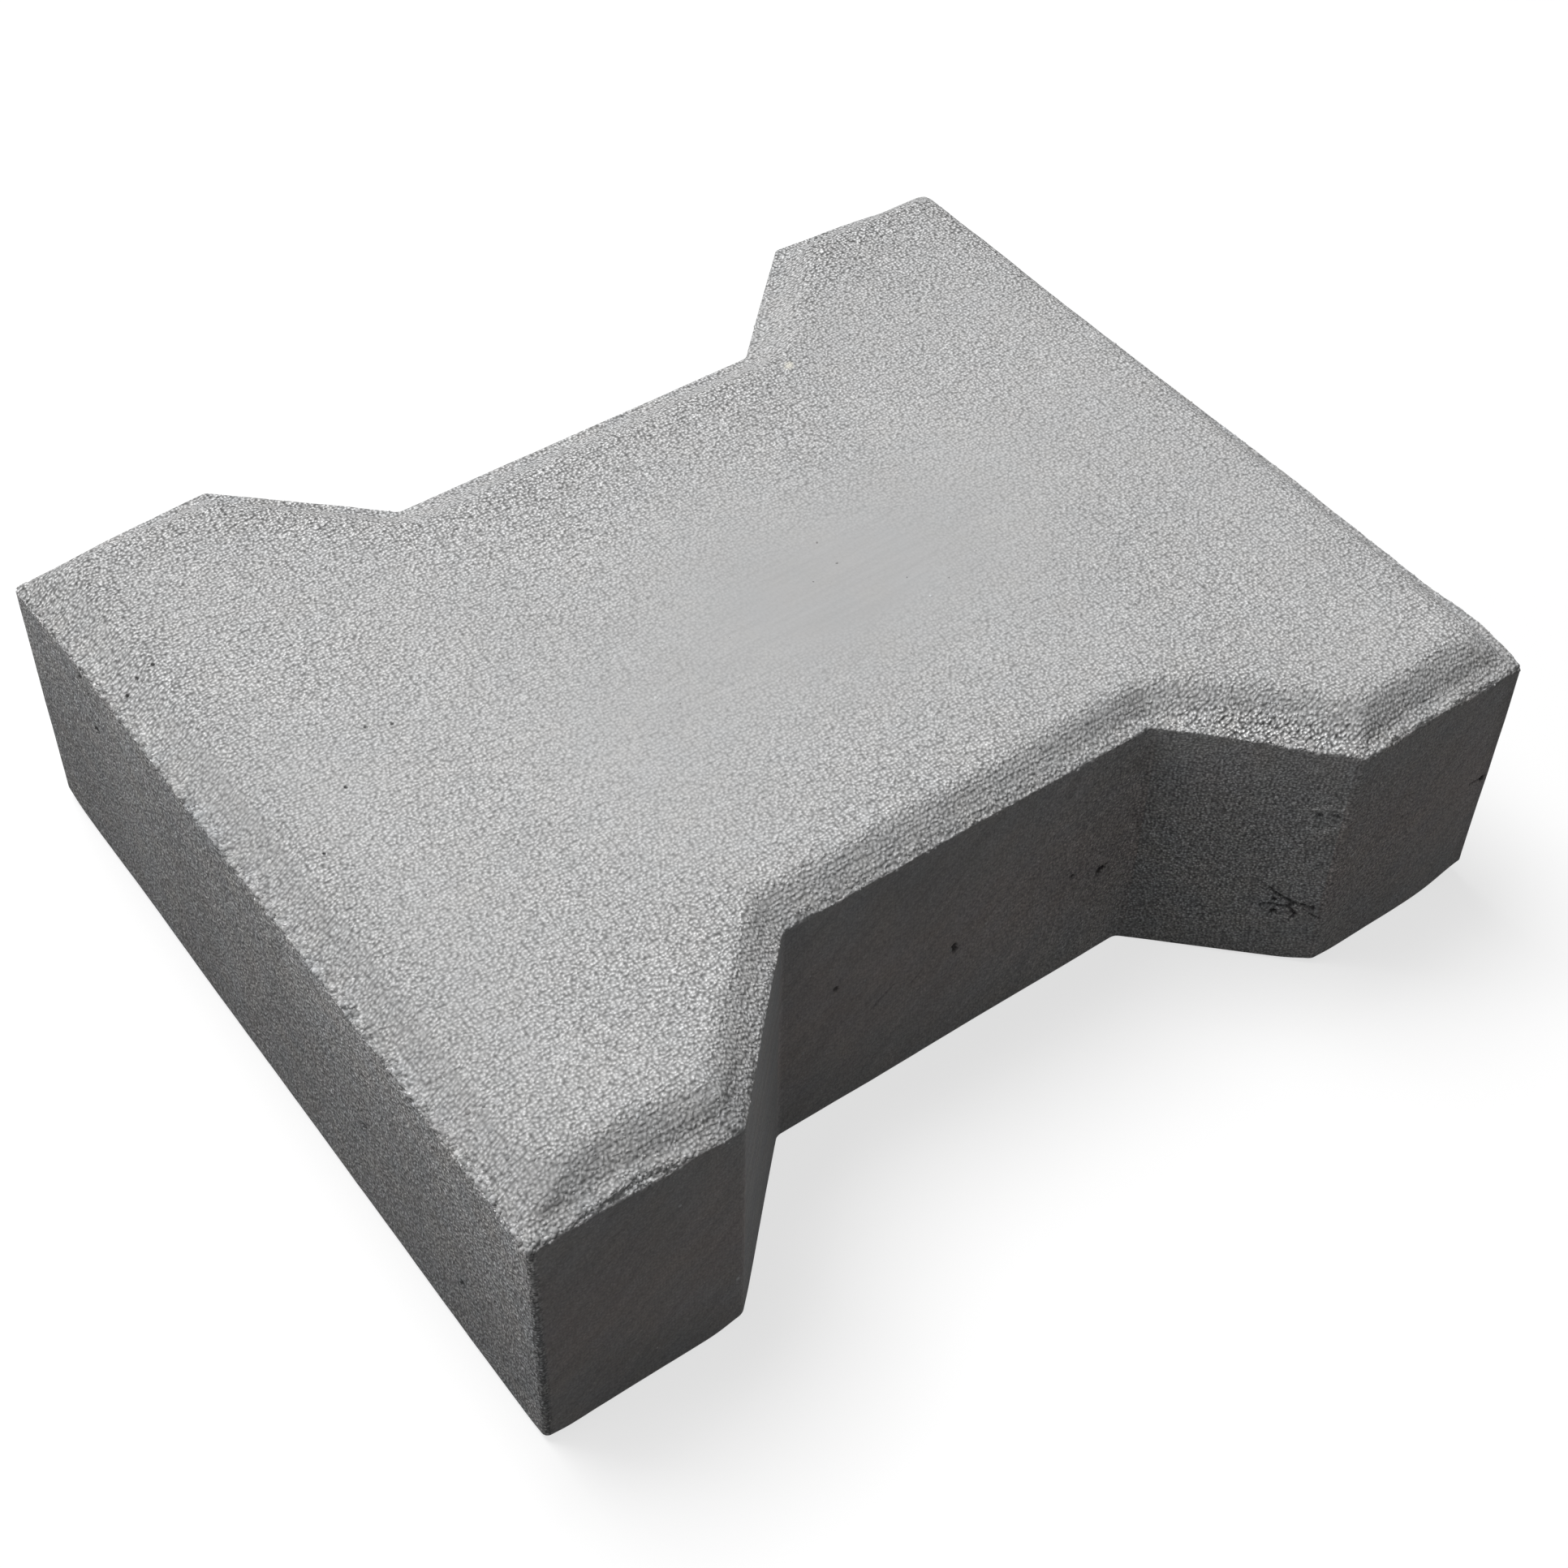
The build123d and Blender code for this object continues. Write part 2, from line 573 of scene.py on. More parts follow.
def layered(tree, place, layers, detail=1.0):
    """Noise of several sizes laid over one another, each layer a pair (waves per millimetre, weight)."""
    return total(tree, *[(weight, noise_at(tree, place, scale, detail)) for scale, weight in layers])


def streaks(tree, lengths, *along):
    """Noise drawn out into streaks: each direction in along is divided by its own length."""
    shares = [sum_of(tree, "DIVIDE", value, size) for value, size in zip(along, lengths)]
    return noise_at(tree, vector_from(tree, *shares), 1.0, 1.0)


print("noise helpers ready")

# %% [markdown]
# ## Finishes
#
# The whole brick is one grey paste, so its finishes share three effects, each a group of shader nodes.
# The first is the cloudy colour of fly ash, with a breath of brown and blue in it. The second is the
# sandy grain. Real grains lie packed side by side, with pale tops and dark gaps. Voronoi cells alone would
# look like cracked mud and noise alone like felt, so the group adds the two, and bends them a little. The
# third is a scatter of pinholes. Each finish places the groups with its own sizes.

# %% The cloudy colour of fly ash
cloud_detail = 3.0
tint_place = (71.0, 13.0, 37.0)  # the tint's noise is read elsewhere, so that it doesn't follow the clouds
tint_waves = 0.16  # per millimetre
tint_detail = 2.0
warm_blue = -0.8  # where the paste is redder, this much less blue
cool_blue = 0.7


def cloudy_ash():
    """Colour: the paste's grey, with lighter and darker clouds and a slight change of tint."""
    tree, comes, goes = new_tree("cloudy_ash", "ShaderNodeTree", [
        ("Vector", "NodeSocketVector", None),
        ("Paste Color", "NodeSocketColor", (0.45, 0.45, 0.45, 1)),
        ("Cloud Size", "NodeSocketFloat", 30.0),
        ("Cloud Contrast", "NodeSocketFloat", 0.3),
        ("Tint", "NodeSocketFloat", 0.2),
    ], [("Color", "NodeSocketColor")])
    place = in_millimetres(tree, comes["Vector"])
    cloud = noise_at(tree, place, sum_of(tree, "DIVIDE", 1.0, comes["Cloud Size"]), cloud_detail)
    light = sum_of(tree, "MULTIPLY_ADD", cloud, comes["Cloud Contrast"], 1.0)
    tints = noise_at(tree, vector_of(tree, "ADD", place, tint_place), tint_waves, tint_detail, colour=True)
    warm, cool, unused = parts_of(tree, tints)
    amount = product(tree, warm, comes["Tint"])
    red = sum_of(tree, "ADD", 1.0, amount)
    blue = sum_of(tree, "MULTIPLY_ADD", product(tree, cool, comes["Tint"]), cool_blue,
                  sum_of(tree, "MULTIPLY_ADD", amount, warm_blue, 1.0))
    lit = vector_of(tree, "SCALE", comes["Paste Color"], scale=light)
    tree.links.new(vector_of(tree, "MULTIPLY", lit, vector_from(tree, red, 1.0, blue)), goes["Color"])
    return tree


ash_group = cloudy_ash()
print("group:", ash_group.name, "with", len(ash_group.nodes), "nodes")

# %% The sandy grain
drift_waves = 0.4  # per grain: how quickly the rows of grains bend
dome_fall = -3.4  # a grain's tone falls from its middle to its rim
dome_top = 1.45
dome_weight = 0.8
grain_noise_waves = 1.3  # per grain
grain_noise_weight = 2.1


def sandy_grain(name, dimensions):
    """Tone and height, both about -1 to 1: grains packed side by side, pale on top and dark between."""
    tree, comes, goes = new_tree(name, "ShaderNodeTree", [
        ("Vector", "NodeSocketVector", None),
        ("Grain Size", "NodeSocketFloat", 0.6),
        ("Warp", "NodeSocketFloat", 0.5),
        ("Disorder", "NodeSocketFloat", 0.7),
    ], [("Tone", "NodeSocketFloat"), ("Height", "NodeSocketFloat")])
    per_grain = sum_of(tree, "DIVIDE", 1 / MM, comes["Grain Size"])
    place = vector_of(tree, "SCALE", comes["Vector"], scale=per_grain)
    drift = vector_of(tree, "SCALE", noise_at(tree, place, drift_waves, colour=True), scale=comes["Warp"])
    warped = vector_of(tree, "ADD", place, drift)
    cells = put(tree, "ShaderNodeTexVoronoi",
                {"Vector": warped, "Scale": 1.0, "Randomness": comes["Disorder"]},
                voronoi_dimensions=dimensions)
    dome = sum_of(tree, "MULTIPLY_ADD", cells.outputs["Distance"], dome_fall, dome_top)
    noise = noise_at(tree, warped, grain_noise_waves)
    packed = total(tree, (dome_weight, dome), (grain_noise_weight, noise))
    tree.links.new(packed, goes["Height"])
    tree.links.new(packed, goes["Tone"])
    return tree


flat_grain_group = sandy_grain("sandy_grain_flat", "2D")  # for the walking face, seen from above
grain_group = sandy_grain("sandy_grain", "3D")  # for walls of any direction
print("groups:", flat_grain_group.name, "and", grain_group.name)

# %% The pinholes
def pinhole_scatter():
    """Mask: 1 in the middle of a tiny hole, 0 outside; only a share of the cells has one."""
    tree, comes, goes = new_tree("pinhole_scatter", "ShaderNodeTree", [
        ("Vector", "NodeSocketVector", None),
        ("Spacing", "NodeSocketFloat", 4.0),
        ("Hole Size", "NodeSocketFloat", 0.3),
        ("Share", "NodeSocketFloat", 0.3),
    ], [("Mask", "NodeSocketFloat")])
    per_cell = sum_of(tree, "DIVIDE", 1 / MM, comes["Spacing"])
    place = vector_of(tree, "SCALE", comes["Vector"], scale=per_cell)
    cells = put(tree, "ShaderNodeTexVoronoi", {"Vector": place, "Scale": 1.0})
    size = sum_of(tree, "DIVIDE", comes["Hole Size"], comes["Spacing"])
    hole = graded(tree, cells.outputs["Distance"], 0.0, size, 1.0, 0.0, kind="SMOOTHSTEP")
    chosen = sum_of(tree, "LESS_THAN", parts_of(tree, cells.outputs["Color"])[0], comes["Share"])
    tree.links.new(product(tree, hole, chosen), goes["Mask"])
    return tree


pinhole_group = pinhole_scatter()
print("group:", pinhole_group.name)

# %% [markdown]
# Every finish starts the same way: a Principled shader, and Object coordinates. The mesh carries a few
# numbers at each point, such as how far it lies inside the outline and how much of it crumbled away, and
# the finishes read them, so that colour and shape change in the same places.

# %% Start a finish
def new_finish(name, roughness, specular):
    """A material with one Principled shader. Returns it, its tree, the shader and Object coordinates."""
    material = bpy.data.materials.new(name)
    material.use_nodes = True
    tree = material.node_tree
    tree.nodes.clear()
    shader = put(tree, "ShaderNodeBsdfPrincipled", {"Roughness": roughness, "Specular IOR Level": specular})
    output = tree.nodes.new("ShaderNodeOutputMaterial")
    tree.links.new(shader.outputs[0], output.inputs["Surface"])
    place = tree.nodes.new("ShaderNodeTexCoord").outputs["Object"]
    return material, tree, shader, place


def use_group(tree, group, feeds):
    """Places a shared effect in a material."""
    return put(tree, "ShaderNodeGroup", feeds, node_tree=group)


def bumped(tree, shader, height, distance):
    """Feeds the shader's normal with a bump whose height is counted in distance, in millimetres."""
    bump = put(tree, "ShaderNodeBump", {"Strength": 1.0, "Distance": distance * MM, "Height": height})
    tree.links.new(bump.outputs[0], shader.inputs["Normal"])


def attribute(tree, name):
    """One number that the mesh carries at each point."""
    return put(tree, "ShaderNodeAttribute", attribute_name=name).outputs["Fac"]


crumb_waves = 1.3  # per millimetre, of the rough grit in a crumbled place
crumb_detail = 2.0


def finish_points(tree, place):
    """Where a point lies, in millimetres, and what the mesh carries there."""
    in_mm = in_millimetres(tree, place)
    x, y, z = parts_of(tree, in_mm)
    crumbled = attribute(tree, "crumbled")
    crumbs = product(tree, noise_at(tree, in_mm, crumb_waves, crumb_detail), crumbled)
    return SimpleNamespace(place=place, in_mm=in_mm, x=x, y=y, z=z, inset=attribute(tree, "inset"),
                           crumbled=crumbled, crumbs=crumbs, pit=attribute(tree, "pit"),
                           pale=attribute(tree, "pale"))


print("ready to mix finishes")

# %% [markdown]
# The walking face was under the press. Its grain isn't equally crisp everywhere. The middle is rubbed
# nearly smooth, the part to its left is softer, and towards the edge the grain is crisp again, crispest of
# all in the gritty corner of the right notch. One number at each point holds this strength, and it then
# steers the grain's tone, its bump and its pinholes together.

# %% Where the face's grain is crisp
rubbed_middle = (14.0, -4.0, face_level)
rubbed_reach = (40.0, 23.0, 40.0)
softer_middle = (-34.0, -19.0, face_level)
softer_reach = 22.0
pebbly_middle = (-66.0, -52.0, face_level)
pebbly_reach = 24.0
gritty_corner = (52.0, -70.0, 56.0)
gritty_reach = 20.0
gritty_rim = (1.5, 2.4)  # the inset and the reach of the band of grit
crisp_weights = {"rubbed": -1.0, "towards_edge": 0.35, "softer": -0.35, "pebbly": 0.1, "plain": 0.93}
least_crisp = 0.06
crisp_edge_fade = (4.0, 16.0)  # inset over which the crisp grain of the edge fades
farther_fade = (10.0, 75.0)
farther_crisp = 1.6  # at the back, where the photograph shows the grain stronger
patch_waves = 0.03
patch_weight = 0.6
grit_weights = {"corner": 1.6, "plain": 0.3}


def rubbed_patch(tree, at):
    """1 in the middle of the rubbed patch, falling off as an ellipse."""
    from_middle = vector_of(tree, "SUBTRACT", at.in_mm, rubbed_middle)
    ellipse = vector_of(tree, "MULTIPLY", from_middle, tuple(1 / reach for reach in rubbed_reach))
    return hump(tree, measure_of(tree, "LENGTH", ellipse), 1.0)


def face_crispness(tree, at):
    """How strongly the grain shows at each point of the face."""
    crisp = weighted(tree, crisp_weights, rubbed=at.rubbed,
                     towards_edge=graded(tree, at.inset, *crisp_edge_fade, 1.0, 0.0),
                     softer=near(tree, at.in_mm, softer_middle, softer_reach),
                     pebbly=near(tree, at.in_mm, pebbly_middle, pebbly_reach))
    farther = graded(tree, at.y, *farther_fade, 1.0, farther_crisp)
    patches = total(tree, (patch_weight, noise_at(tree, at.in_mm, patch_waves)), (1.0, 1.0))
    grit = product(tree, band(tree, at.inset, *gritty_rim), weighted(tree, grit_weights, corner=at.gritty))
    return sum_of(tree, "MULTIPLY_ADD", sum_of(tree, "MAXIMUM", crisp, least_crisp),
                  product(tree, farther, patches), grit)


print("the rubbed patch reaches", rubbed_reach[:2], "mm from", rubbed_middle[:2])

# %% [markdown]
# The press was wiped and dragged as it came off. Three kinds of streak are left: long faint wipes over the
# whole face, drag lines that follow the pressed edge at the front, and a comb of short bristles across the
# lip at the left end. Each is noise that is drawn out along its own direction.

# %% Wipes, drag lines and bristles
wipe_turn = math.radians(-10.0)
wipe_length = 16.0
wipe_breadth = 0.9
drag_lengths = (0.4, 5.0, 5.0)  # fine across the edge, long along it
bristle_lengths = (0.8, 3.0, 3.0)
front_fade = (-45.0, -30.0)
edge_band = (4.0, 4.0)  # inset and reach of the pressed edge's slope
left_lip_band = (-99.0, 1.8)
end_mitre = 4.0  # over this much beside the left end's mitre the drag lines fade
drag_blur = -0.12
slope_blur = -0.3


def face_streaks(tree, at):
    """Wipes, drag lines, bristles, and how far the drag and the slope blur the grain."""
    wiped = put(tree, "ShaderNodeMapping", {"Vector": at.in_mm, "Rotation": (0.0, 0.0, wipe_turn),
                                            "Scale": (1 / wipe_length, 1 / wipe_breadth, 1.0)}).outputs[0]
    wipes = noise_at(tree, wiped, 1.0, 1.0)
    at_the_front = graded(tree, at.y, *front_fade, 1.0, 0.0)
    beside_end = total(tree, (1.0, at.x), (half_length, 1.0), (-1.0, at.inset))
    dragged = product(tree, band(tree, at.inset, *edge_band), at_the_front,
                      graded(tree, beside_end, 0.0, end_mitre))
    drag_lines = product(tree, streaks(tree, drag_lengths, at.inset, at.x, at.y), dragged)
    on_left_lip = band(tree, at.x, *left_lip_band)
    bristles = product(tree, streaks(tree, bristle_lengths, at.y, at.x, at.z), on_left_lip)
    off_corner = product(tree, dragged, sum_of(tree, "SUBTRACT", 1.0, at.gritty))
    blur = total(tree, (slope_blur, at.below_face), (drag_blur, off_corner), (1.0, 1.0))
    return wipes, drag_lines, bristles, blur


print("wipes are", wipe_length, "mm long and", wipe_breadth, "mm wide")

# %% [markdown]
# The rest are soft changes of tone: a darker rim and a darker band along the left end, painted shade on the
# slope at the front, which faces away from the lamp, painted light in a pale patch on the left slope of the
# notch, and paler rubble in the chips. The grain's own tone multiplies the colour through an exponential, so
# that the gaps between grains go dark without ever going below black. The bump is weak, a tenth of a
# millimetre, because most of what is seen as grain is tone.

# %% Light and dark on the face
near_slope_fade = (10.0, 45.0)
far_rim_fade = (35.0, 65.0)
left_dust_band = (-96.0, 10.0)
sparkling_rim = (2.2, 1.8)
pale_slope_middle = (-49.0, -70.0, 58.0)
pale_slope_reach = 13.0
rim_dust = -0.03
rim_dust_fade = (4.0, 20.0)
face_tones = {"wipes": 0.12, "drag_lines": 0.55, "crumbs": 2.0, "near_slope": -0.09, "sparkling": 0.08,
              "rubbed": -0.06, "bristles": 1.2, "left_dust": -0.08, "pale_slope": 0.14, "gritty": -0.06,
              "dusty": 1.0, "crumbled": 0.15, "far_rim": -0.05, "plain": 1.02}


def face_tone(tree, at, wipes, drag_lines, bristles):
    """How light the face is, before its grain, where 1 is plain."""
    return weighted(
        tree, face_tones, wipes=wipes, drag_lines=drag_lines, crumbs=at.crumbs,
        # painted shade: the slope at the front, which faces away from the lamp, is darkened
        near_slope=graded(tree, at.y, *near_slope_fade, at.below_face, 0.0),
        sparkling=product(tree, at.gritty, band(tree, at.inset, *sparkling_rim)),
        # the face is darker in a band along the left end
        rubbed=at.rubbed, bristles=bristles, left_dust=band(tree, at.x, *left_dust_band),
        # painted light: a patch of the slope on the left side of the notch is made paler
        pale_slope=product(tree, near(tree, at.in_mm, pale_slope_middle, pale_slope_reach), at.below_face),
        # the face is darker towards its rim
        gritty=at.gritty, dusty=graded(tree, at.inset, *rim_dust_fade, rim_dust, 0.0),
        crumbled=at.crumbled, far_rim=graded(tree, at.y, *far_rim_fade))


print(len(face_tones), "tones on the face")

# %% The pressed face
face_colour = (0.48, 0.48, 0.48, 1)
pale_grain_colour = (0.8, 0.78, 0.7, 1)
face_grain_size = 0.65
grain_warp = 0.6
face_grain_contrast = 0.46
below_face_fade = (0.5, 1.5)  # this far below the walking face the slope begins
rim_fade = (2.0, 5.0)
rim_tint = 0.03
middle_tint = 0.025
hollow_shade = -0.5
face_bump = 0.1  # millimetres
face_heights = {"grain": 1.0, "crumbs": 3.0, "drag_lines": 1.0, "bristles": 2.0, "hollow": -1.0,
                "plain": 0.0}


def pressed_face_finish():
    """Walking face, pressed edge and lip."""
    material, tree, shader, place = new_finish("pressed_face", roughness=0.88, specular=0.25)
    at = finish_points(tree, place)
    at.gritty = near(tree, at.in_mm, gritty_corner, gritty_reach)
    at.rubbed = rubbed_patch(tree, at)
    at.below_face = graded(tree, sum_of(tree, "SUBTRACT", thickness, at.z), *below_face_fade)
    rim = graded(tree, at.inset, *rim_fade, 1.0, 0.0)
    tint = sum_of(tree, "MULTIPLY_ADD", rim, rim_tint, middle_tint)
    ash = use_group(tree, ash_group, {"Vector": place, "Paste Color": face_colour, "Cloud Size": 26.0,
                                      "Cloud Contrast": 0.12, "Tint": tint})
    grain = use_group(tree, flat_grain_group, {"Vector": place, "Grain Size": face_grain_size,
                                               "Warp": grain_warp})
    holes = use_group(tree, pinhole_group, {"Vector": place, "Spacing": 7.0, "Hole Size": 0.45,
                                            "Share": 0.18}).outputs["Mask"]
    wipes, drag_lines, bristles, blur = face_streaks(tree, at)
    crispness = product(tree, face_crispness(tree, at), blur)

    grain_tone = product(tree, grain.outputs["Tone"], crispness, face_grain_contrast)
    toned = product(tree, face_tone(tree, at, wipes, drag_lines, bristles),
                    sum_of(tree, "EXPONENT", grain_tone))
    # pits and pinholes darken the colour: painted shade in the hollows
    hollow = sum_of(tree, "MAXIMUM", product(tree, holes, crispness), at.pit)
    shaded = product(tree, toned, sum_of(tree, "MULTIPLY_ADD", hollow, hollow_shade, 1.0))
    colour = vector_of(tree, "SCALE", ash.outputs["Color"], scale=shaded)
    pale = put(tree, "ShaderNodeMix", {0: at.pale, 6: colour, 7: pale_grain_colour}, data_type="RGBA")
    tree.links.new(pale.outputs[2], shader.inputs["Base Color"])

    grain_height = product(tree, grain.outputs["Height"], crispness)
    height = weighted(tree, face_heights, grain=grain_height, crumbs=at.crumbs, drag_lines=drag_lines,
                      bristles=bristles, hollow=hollow)
    bumped(tree, shader, height, face_bump)
    return material


pressed_face = pressed_face_finish()
print("finish:", pressed_face.name)

# %% [markdown]
# The sides slid along the steel of the mould as the brick was pushed out. They are smoother than the face,
# with finer grain and slanting smears, and their grey is darker, partly from the denser skin and partly as
# painted shade for walls that get little of the lamp. The walls don't all look the same: the left end is
# gritty, with painted light over it, most at its head, and painted shade growing towards its foot, the right
# side of the notch is rough, and the walls that face the front have a thin brownish film. Masks made from a
# point's own place tell the walls apart, which keeps one finish for all of them.

# %% The walls and their masks
film_height = 28.0  # where the brownish film is thickest
film_reach = 20.0
end_fade = (-half_length + 2.0, -half_length + 1.0)
left_slope_middle = -half_length + tip_length + notch_depth / 2
left_slope_half = 0.47 * notch_depth
rough_middle = (50.0, -70.0, 25.0)  # the near right side of the notch is rougher than the rest
rough_reach = 36.0
smeared_reach = 14.0
foot_fade = (5.0, 56.0)
head_fade = (36.0, 54.0)
corner_fade = (96.0, half_length)
tip_margin = 1.0  # so near to its plane a point belongs to a tip
web_margin = 0.8


def wall_masks(tree, at):
    """Adds to at where each kind of wall is, from 0 to 1."""
    at_the_front = sum_of(tree, "LESS_THAN", at.y, 0.0)
    on_web = product(tree, sum_of(tree, "GREATER_THAN", at.y, -web_face - web_margin), at_the_front)
    at.near_tips = sum_of(tree, "LESS_THAN", at.y, tip_margin - half_width)
    at.end = graded(tree, at.x, *end_fade)
    at.film = product(tree, sum_of(tree, "ADD", at.near_tips, on_web), sum_of(tree, "SUBTRACT", 1.0, at.end),
                      band(tree, at.z, film_height, film_reach))
    at.rough = near(tree, at.in_mm, rough_middle, rough_reach)
    at.foot = graded(tree, at.z, *foot_fade, 1.0, 0.0)
    on_left_slope = product(tree, at_the_front,
                            sum_of(tree, "COMPARE", at.x, left_slope_middle, left_slope_half))
    at.shaded_foot = product(tree, at.foot, on_left_slope)
    at.shaded_corner = product(tree, at.near_tips, graded(tree, at.x, *corner_fade))


print("masks for the left end, the front walls and the rough slope")

# %% Smears on the walls
smear_along = (1.0, -1.0, 1.0)  # the smears rise to the right on the walls that are seen
smear_over = (1.0, -1.0, -1.0)
smear_length = 20.0
smear_breadth = 2.5
smear_weights = {"rough": -0.7, "end": -0.6, "plain": 1.0}


def wall_smears(tree, at):
    """Slanting smears, weaker where the wall is gritty."""
    along = measure_of(tree, "DOT_PRODUCT", at.in_mm, smear_along)
    over = measure_of(tree, "DOT_PRODUCT", at.in_mm, smear_over)
    drawn = vector_from(tree, sum_of(tree, "DIVIDE", along, smear_length),
                        sum_of(tree, "DIVIDE", over, smear_breadth))
    share = weighted(tree, smear_weights, rough=band(tree, at.x, rough_middle[0], smeared_reach), end=at.end)
    return product(tree, noise_at(tree, drawn, 1.0, 2.0), share)


print("smears are", smear_length, "mm long and", smear_breadth, "mm wide")

# %% The moulded side
# The walls' grey is darker than the face's, partly from the denser moulded skin and partly as painted shade
# for walls that get little of the lamp.
side_colour = (0.357, 0.354, 0.355, 1)
film_colour = (0.379, 0.349, 0.342, 1)
side_grain_size = 0.52
side_grain_contrast = 0.38
side_grit = {"rough": 1.9, "end": 2.0, "plain": 0.55}
# painted light and shade on the left end's wall: lighter overall and at its head, much darker towards its
# foot
end_tones = {"foot": -0.53, "head": 0.16, "plain": 0.26}
side_tones = {"smears": 0.55, "pit": -0.85, "pale": 0.3, "crumbs": 2.4, "holes": -0.15, "near_tips": -0.09,
              "shaded_foot": -0.28, "rough": 0.1, "rough_foot": 0.2, "shaded_corner": -0.35, "end": 1.0,
              "plain": 1.0}
side_bump = 0.06  # millimetres
side_heights = {"grain": 1.0, "smears": 0.7, "crumbs": 4.0, "holes": -1.0, "plain": 0.0}


def moulded_side_finish():
    """The upright walls and the underside."""
    material, tree, shader, place = new_finish("moulded_side", roughness=0.82, specular=0.25)
    at = finish_points(tree, place)
    wall_masks(tree, at)
    paste = put(tree, "ShaderNodeMix", {0: at.film, 6: side_colour, 7: film_colour}, data_type="RGBA")
    ash = use_group(tree, ash_group, {"Vector": place, "Paste Color": paste.outputs[2], "Cloud Size": 22.0,
                                      "Cloud Contrast": 0.35, "Tint": 0.1})
    grain = use_group(tree, grain_group, {"Vector": place, "Grain Size": side_grain_size,
                                          "Warp": grain_warp})
    holes = use_group(tree, pinhole_group, {"Vector": place, "Spacing": 9.0, "Hole Size": 0.4,
                                            "Share": 0.15}).outputs["Mask"]
    smears = wall_smears(tree, at)
    strength = weighted(tree, side_grit, rough=at.rough, end=at.end)
    # painted light at the left end's head, painted shade towards its foot
    end_tone = weighted(tree, end_tones, foot=at.foot, head=graded(tree, at.z, *head_fade))

    # pits and pinholes are painted dark here, as the shade in them
    toned = weighted(tree, side_tones, smears=smears, pit=at.pit, pale=at.pale, crumbs=at.crumbs,
                     holes=holes, near_tips=at.near_tips, shaded_foot=at.shaded_foot, rough=at.rough,
                     rough_foot=product(tree, at.rough, at.foot), shaded_corner=at.shaded_corner,
                     end=product(tree, end_tone, at.end))
    grit = product(tree, grain.outputs["Tone"], strength, side_grain_contrast)
    toned = product(tree, toned, sum_of(tree, "EXPONENT", grit))
    colour = vector_of(tree, "SCALE", ash.outputs["Color"], scale=toned)
    tree.links.new(colour, shader.inputs["Base Color"])

    grain_height = product(tree, grain.outputs["Height"], strength)
    height = weighted(tree, side_heights, grain=grain_height, smears=smears, crumbs=at.crumbs, holes=holes)
    bumped(tree, shader, height, side_bump)
    return material


moulded_side = moulded_side_finish()
print("finish:", moulded_side.name)

# %% [markdown]
# Loose grains of sand stick in the lip. Each grain carries its own shade, so that some glint pale and
# others sink into the grey. The square makes pale grains rare, as they are on the real brick.

# %% The sand grains' finish
sand_contrast = 0.95
darkest_sand = 0.6


def loose_sand_finish():
    """Grains on the lip and slope, each with its own shade of the same grey."""
    material, tree, shader, place = new_finish("loose_sand", roughness=0.75, specular=0.35)
    ash = use_group(tree, ash_group, {"Vector": place, "Paste Color": face_colour, "Cloud Size": 5.0,
                                      "Cloud Contrast": 0.2, "Tint": 0.1})
    squared = sum_of(tree, "POWER", attribute(tree, "shade"), 2.0)
    light = sum_of(tree, "MULTIPLY_ADD", squared, sand_contrast, darkest_sand)
    tree.links.new(vector_of(tree, "SCALE", ash.outputs["Color"], scale=light), shader.inputs["Base Color"])
    return material


loose_sand = loose_sand_finish()
print("finish:", loose_sand.name)

# %% [markdown]
# ## Wear on the skin, with Geometry Nodes
#
# The mould leaves no surface quite flat. The lip crumbles in short bites, its corners sag, the crest
# wanders, and every face has a low relief that the hand can feel. It could be sculpted, but every bit of it
# follows the surface by a rule, so one Geometry Nodes tree moves the points of the base mesh. It keeps them
# in the box of the solid, and its sizes are named inputs in millimetres. The tree is long, so each
# kind of wear is a function of its own, and a last one adds them up.

# %% The skin's tree and what it knows of each point
calm_across = (0.3, 1.0, 0.0)  # the wear fades in this direction, away from the front
calm_from, calm_to = -60.0, 30.0
left_lip_reach = 4.0


def new_skin_tree():
    """The empty tree with its named inputs."""
    return new_tree("worn_skin", "GeometryNodeTree", [
        ("Geometry", "NodeSocketGeometry", None),
        ("Relief", "NodeSocketFloat", 0.3),
        ("Lip Wear", "NodeSocketFloat", 0.8),
        ("Lip Roughness", "NodeSocketFloat", 0.5),
        ("Wear On Far Side", "NodeSocketFloat", 0.3),
        ("Lip Rise", "NodeSocketFloat", 0.3),
        ("Far Lip Rise", "NodeSocketFloat", 1.0),
        ("Foot Wear", "NodeSocketFloat", 1.0),
        ("Fill Steepness", "NodeSocketFloat", 0.72),
        ("Crest Wander", "NodeSocketFloat", 0.8),
        ("Crown Shift", "NodeSocketVector", None),
        ("Corner Sag", "NodeSocketFloat", 1.0),
        ("Chipping", "NodeSocketFloat", 1.0),
        ("Lip Height", "NodeSocketFloat", 55.5),
        ("Crest Inset", "NodeSocketFloat", 7.0),
        ("Lowest", "NodeSocketVector", None),
        ("Highest", "NodeSocketVector", None),
        ("Marks", "NodeSocketObject", None),
        ("Face Finish", "NodeSocketMaterial", None),
        ("Side Finish", "NodeSocketMaterial", None),
    ], [("Geometry", "NodeSocketGeometry")])


def carried(tree, name, kind="FLOAT"):
    """What the mesh carries at each point under a name."""
    return put(tree, "GeometryNodeInputNamedAttribute", {"Name": name}, data_type=kind).outputs["Attribute"]


def calmer_behind(tree, place, far_share):
    """1 at the front, falling to the far side's share behind."""
    across = measure_of(tree, "DOT_PRODUCT", place, calm_across)
    return graded(tree, across, calm_from, calm_to, 1.0, far_share)


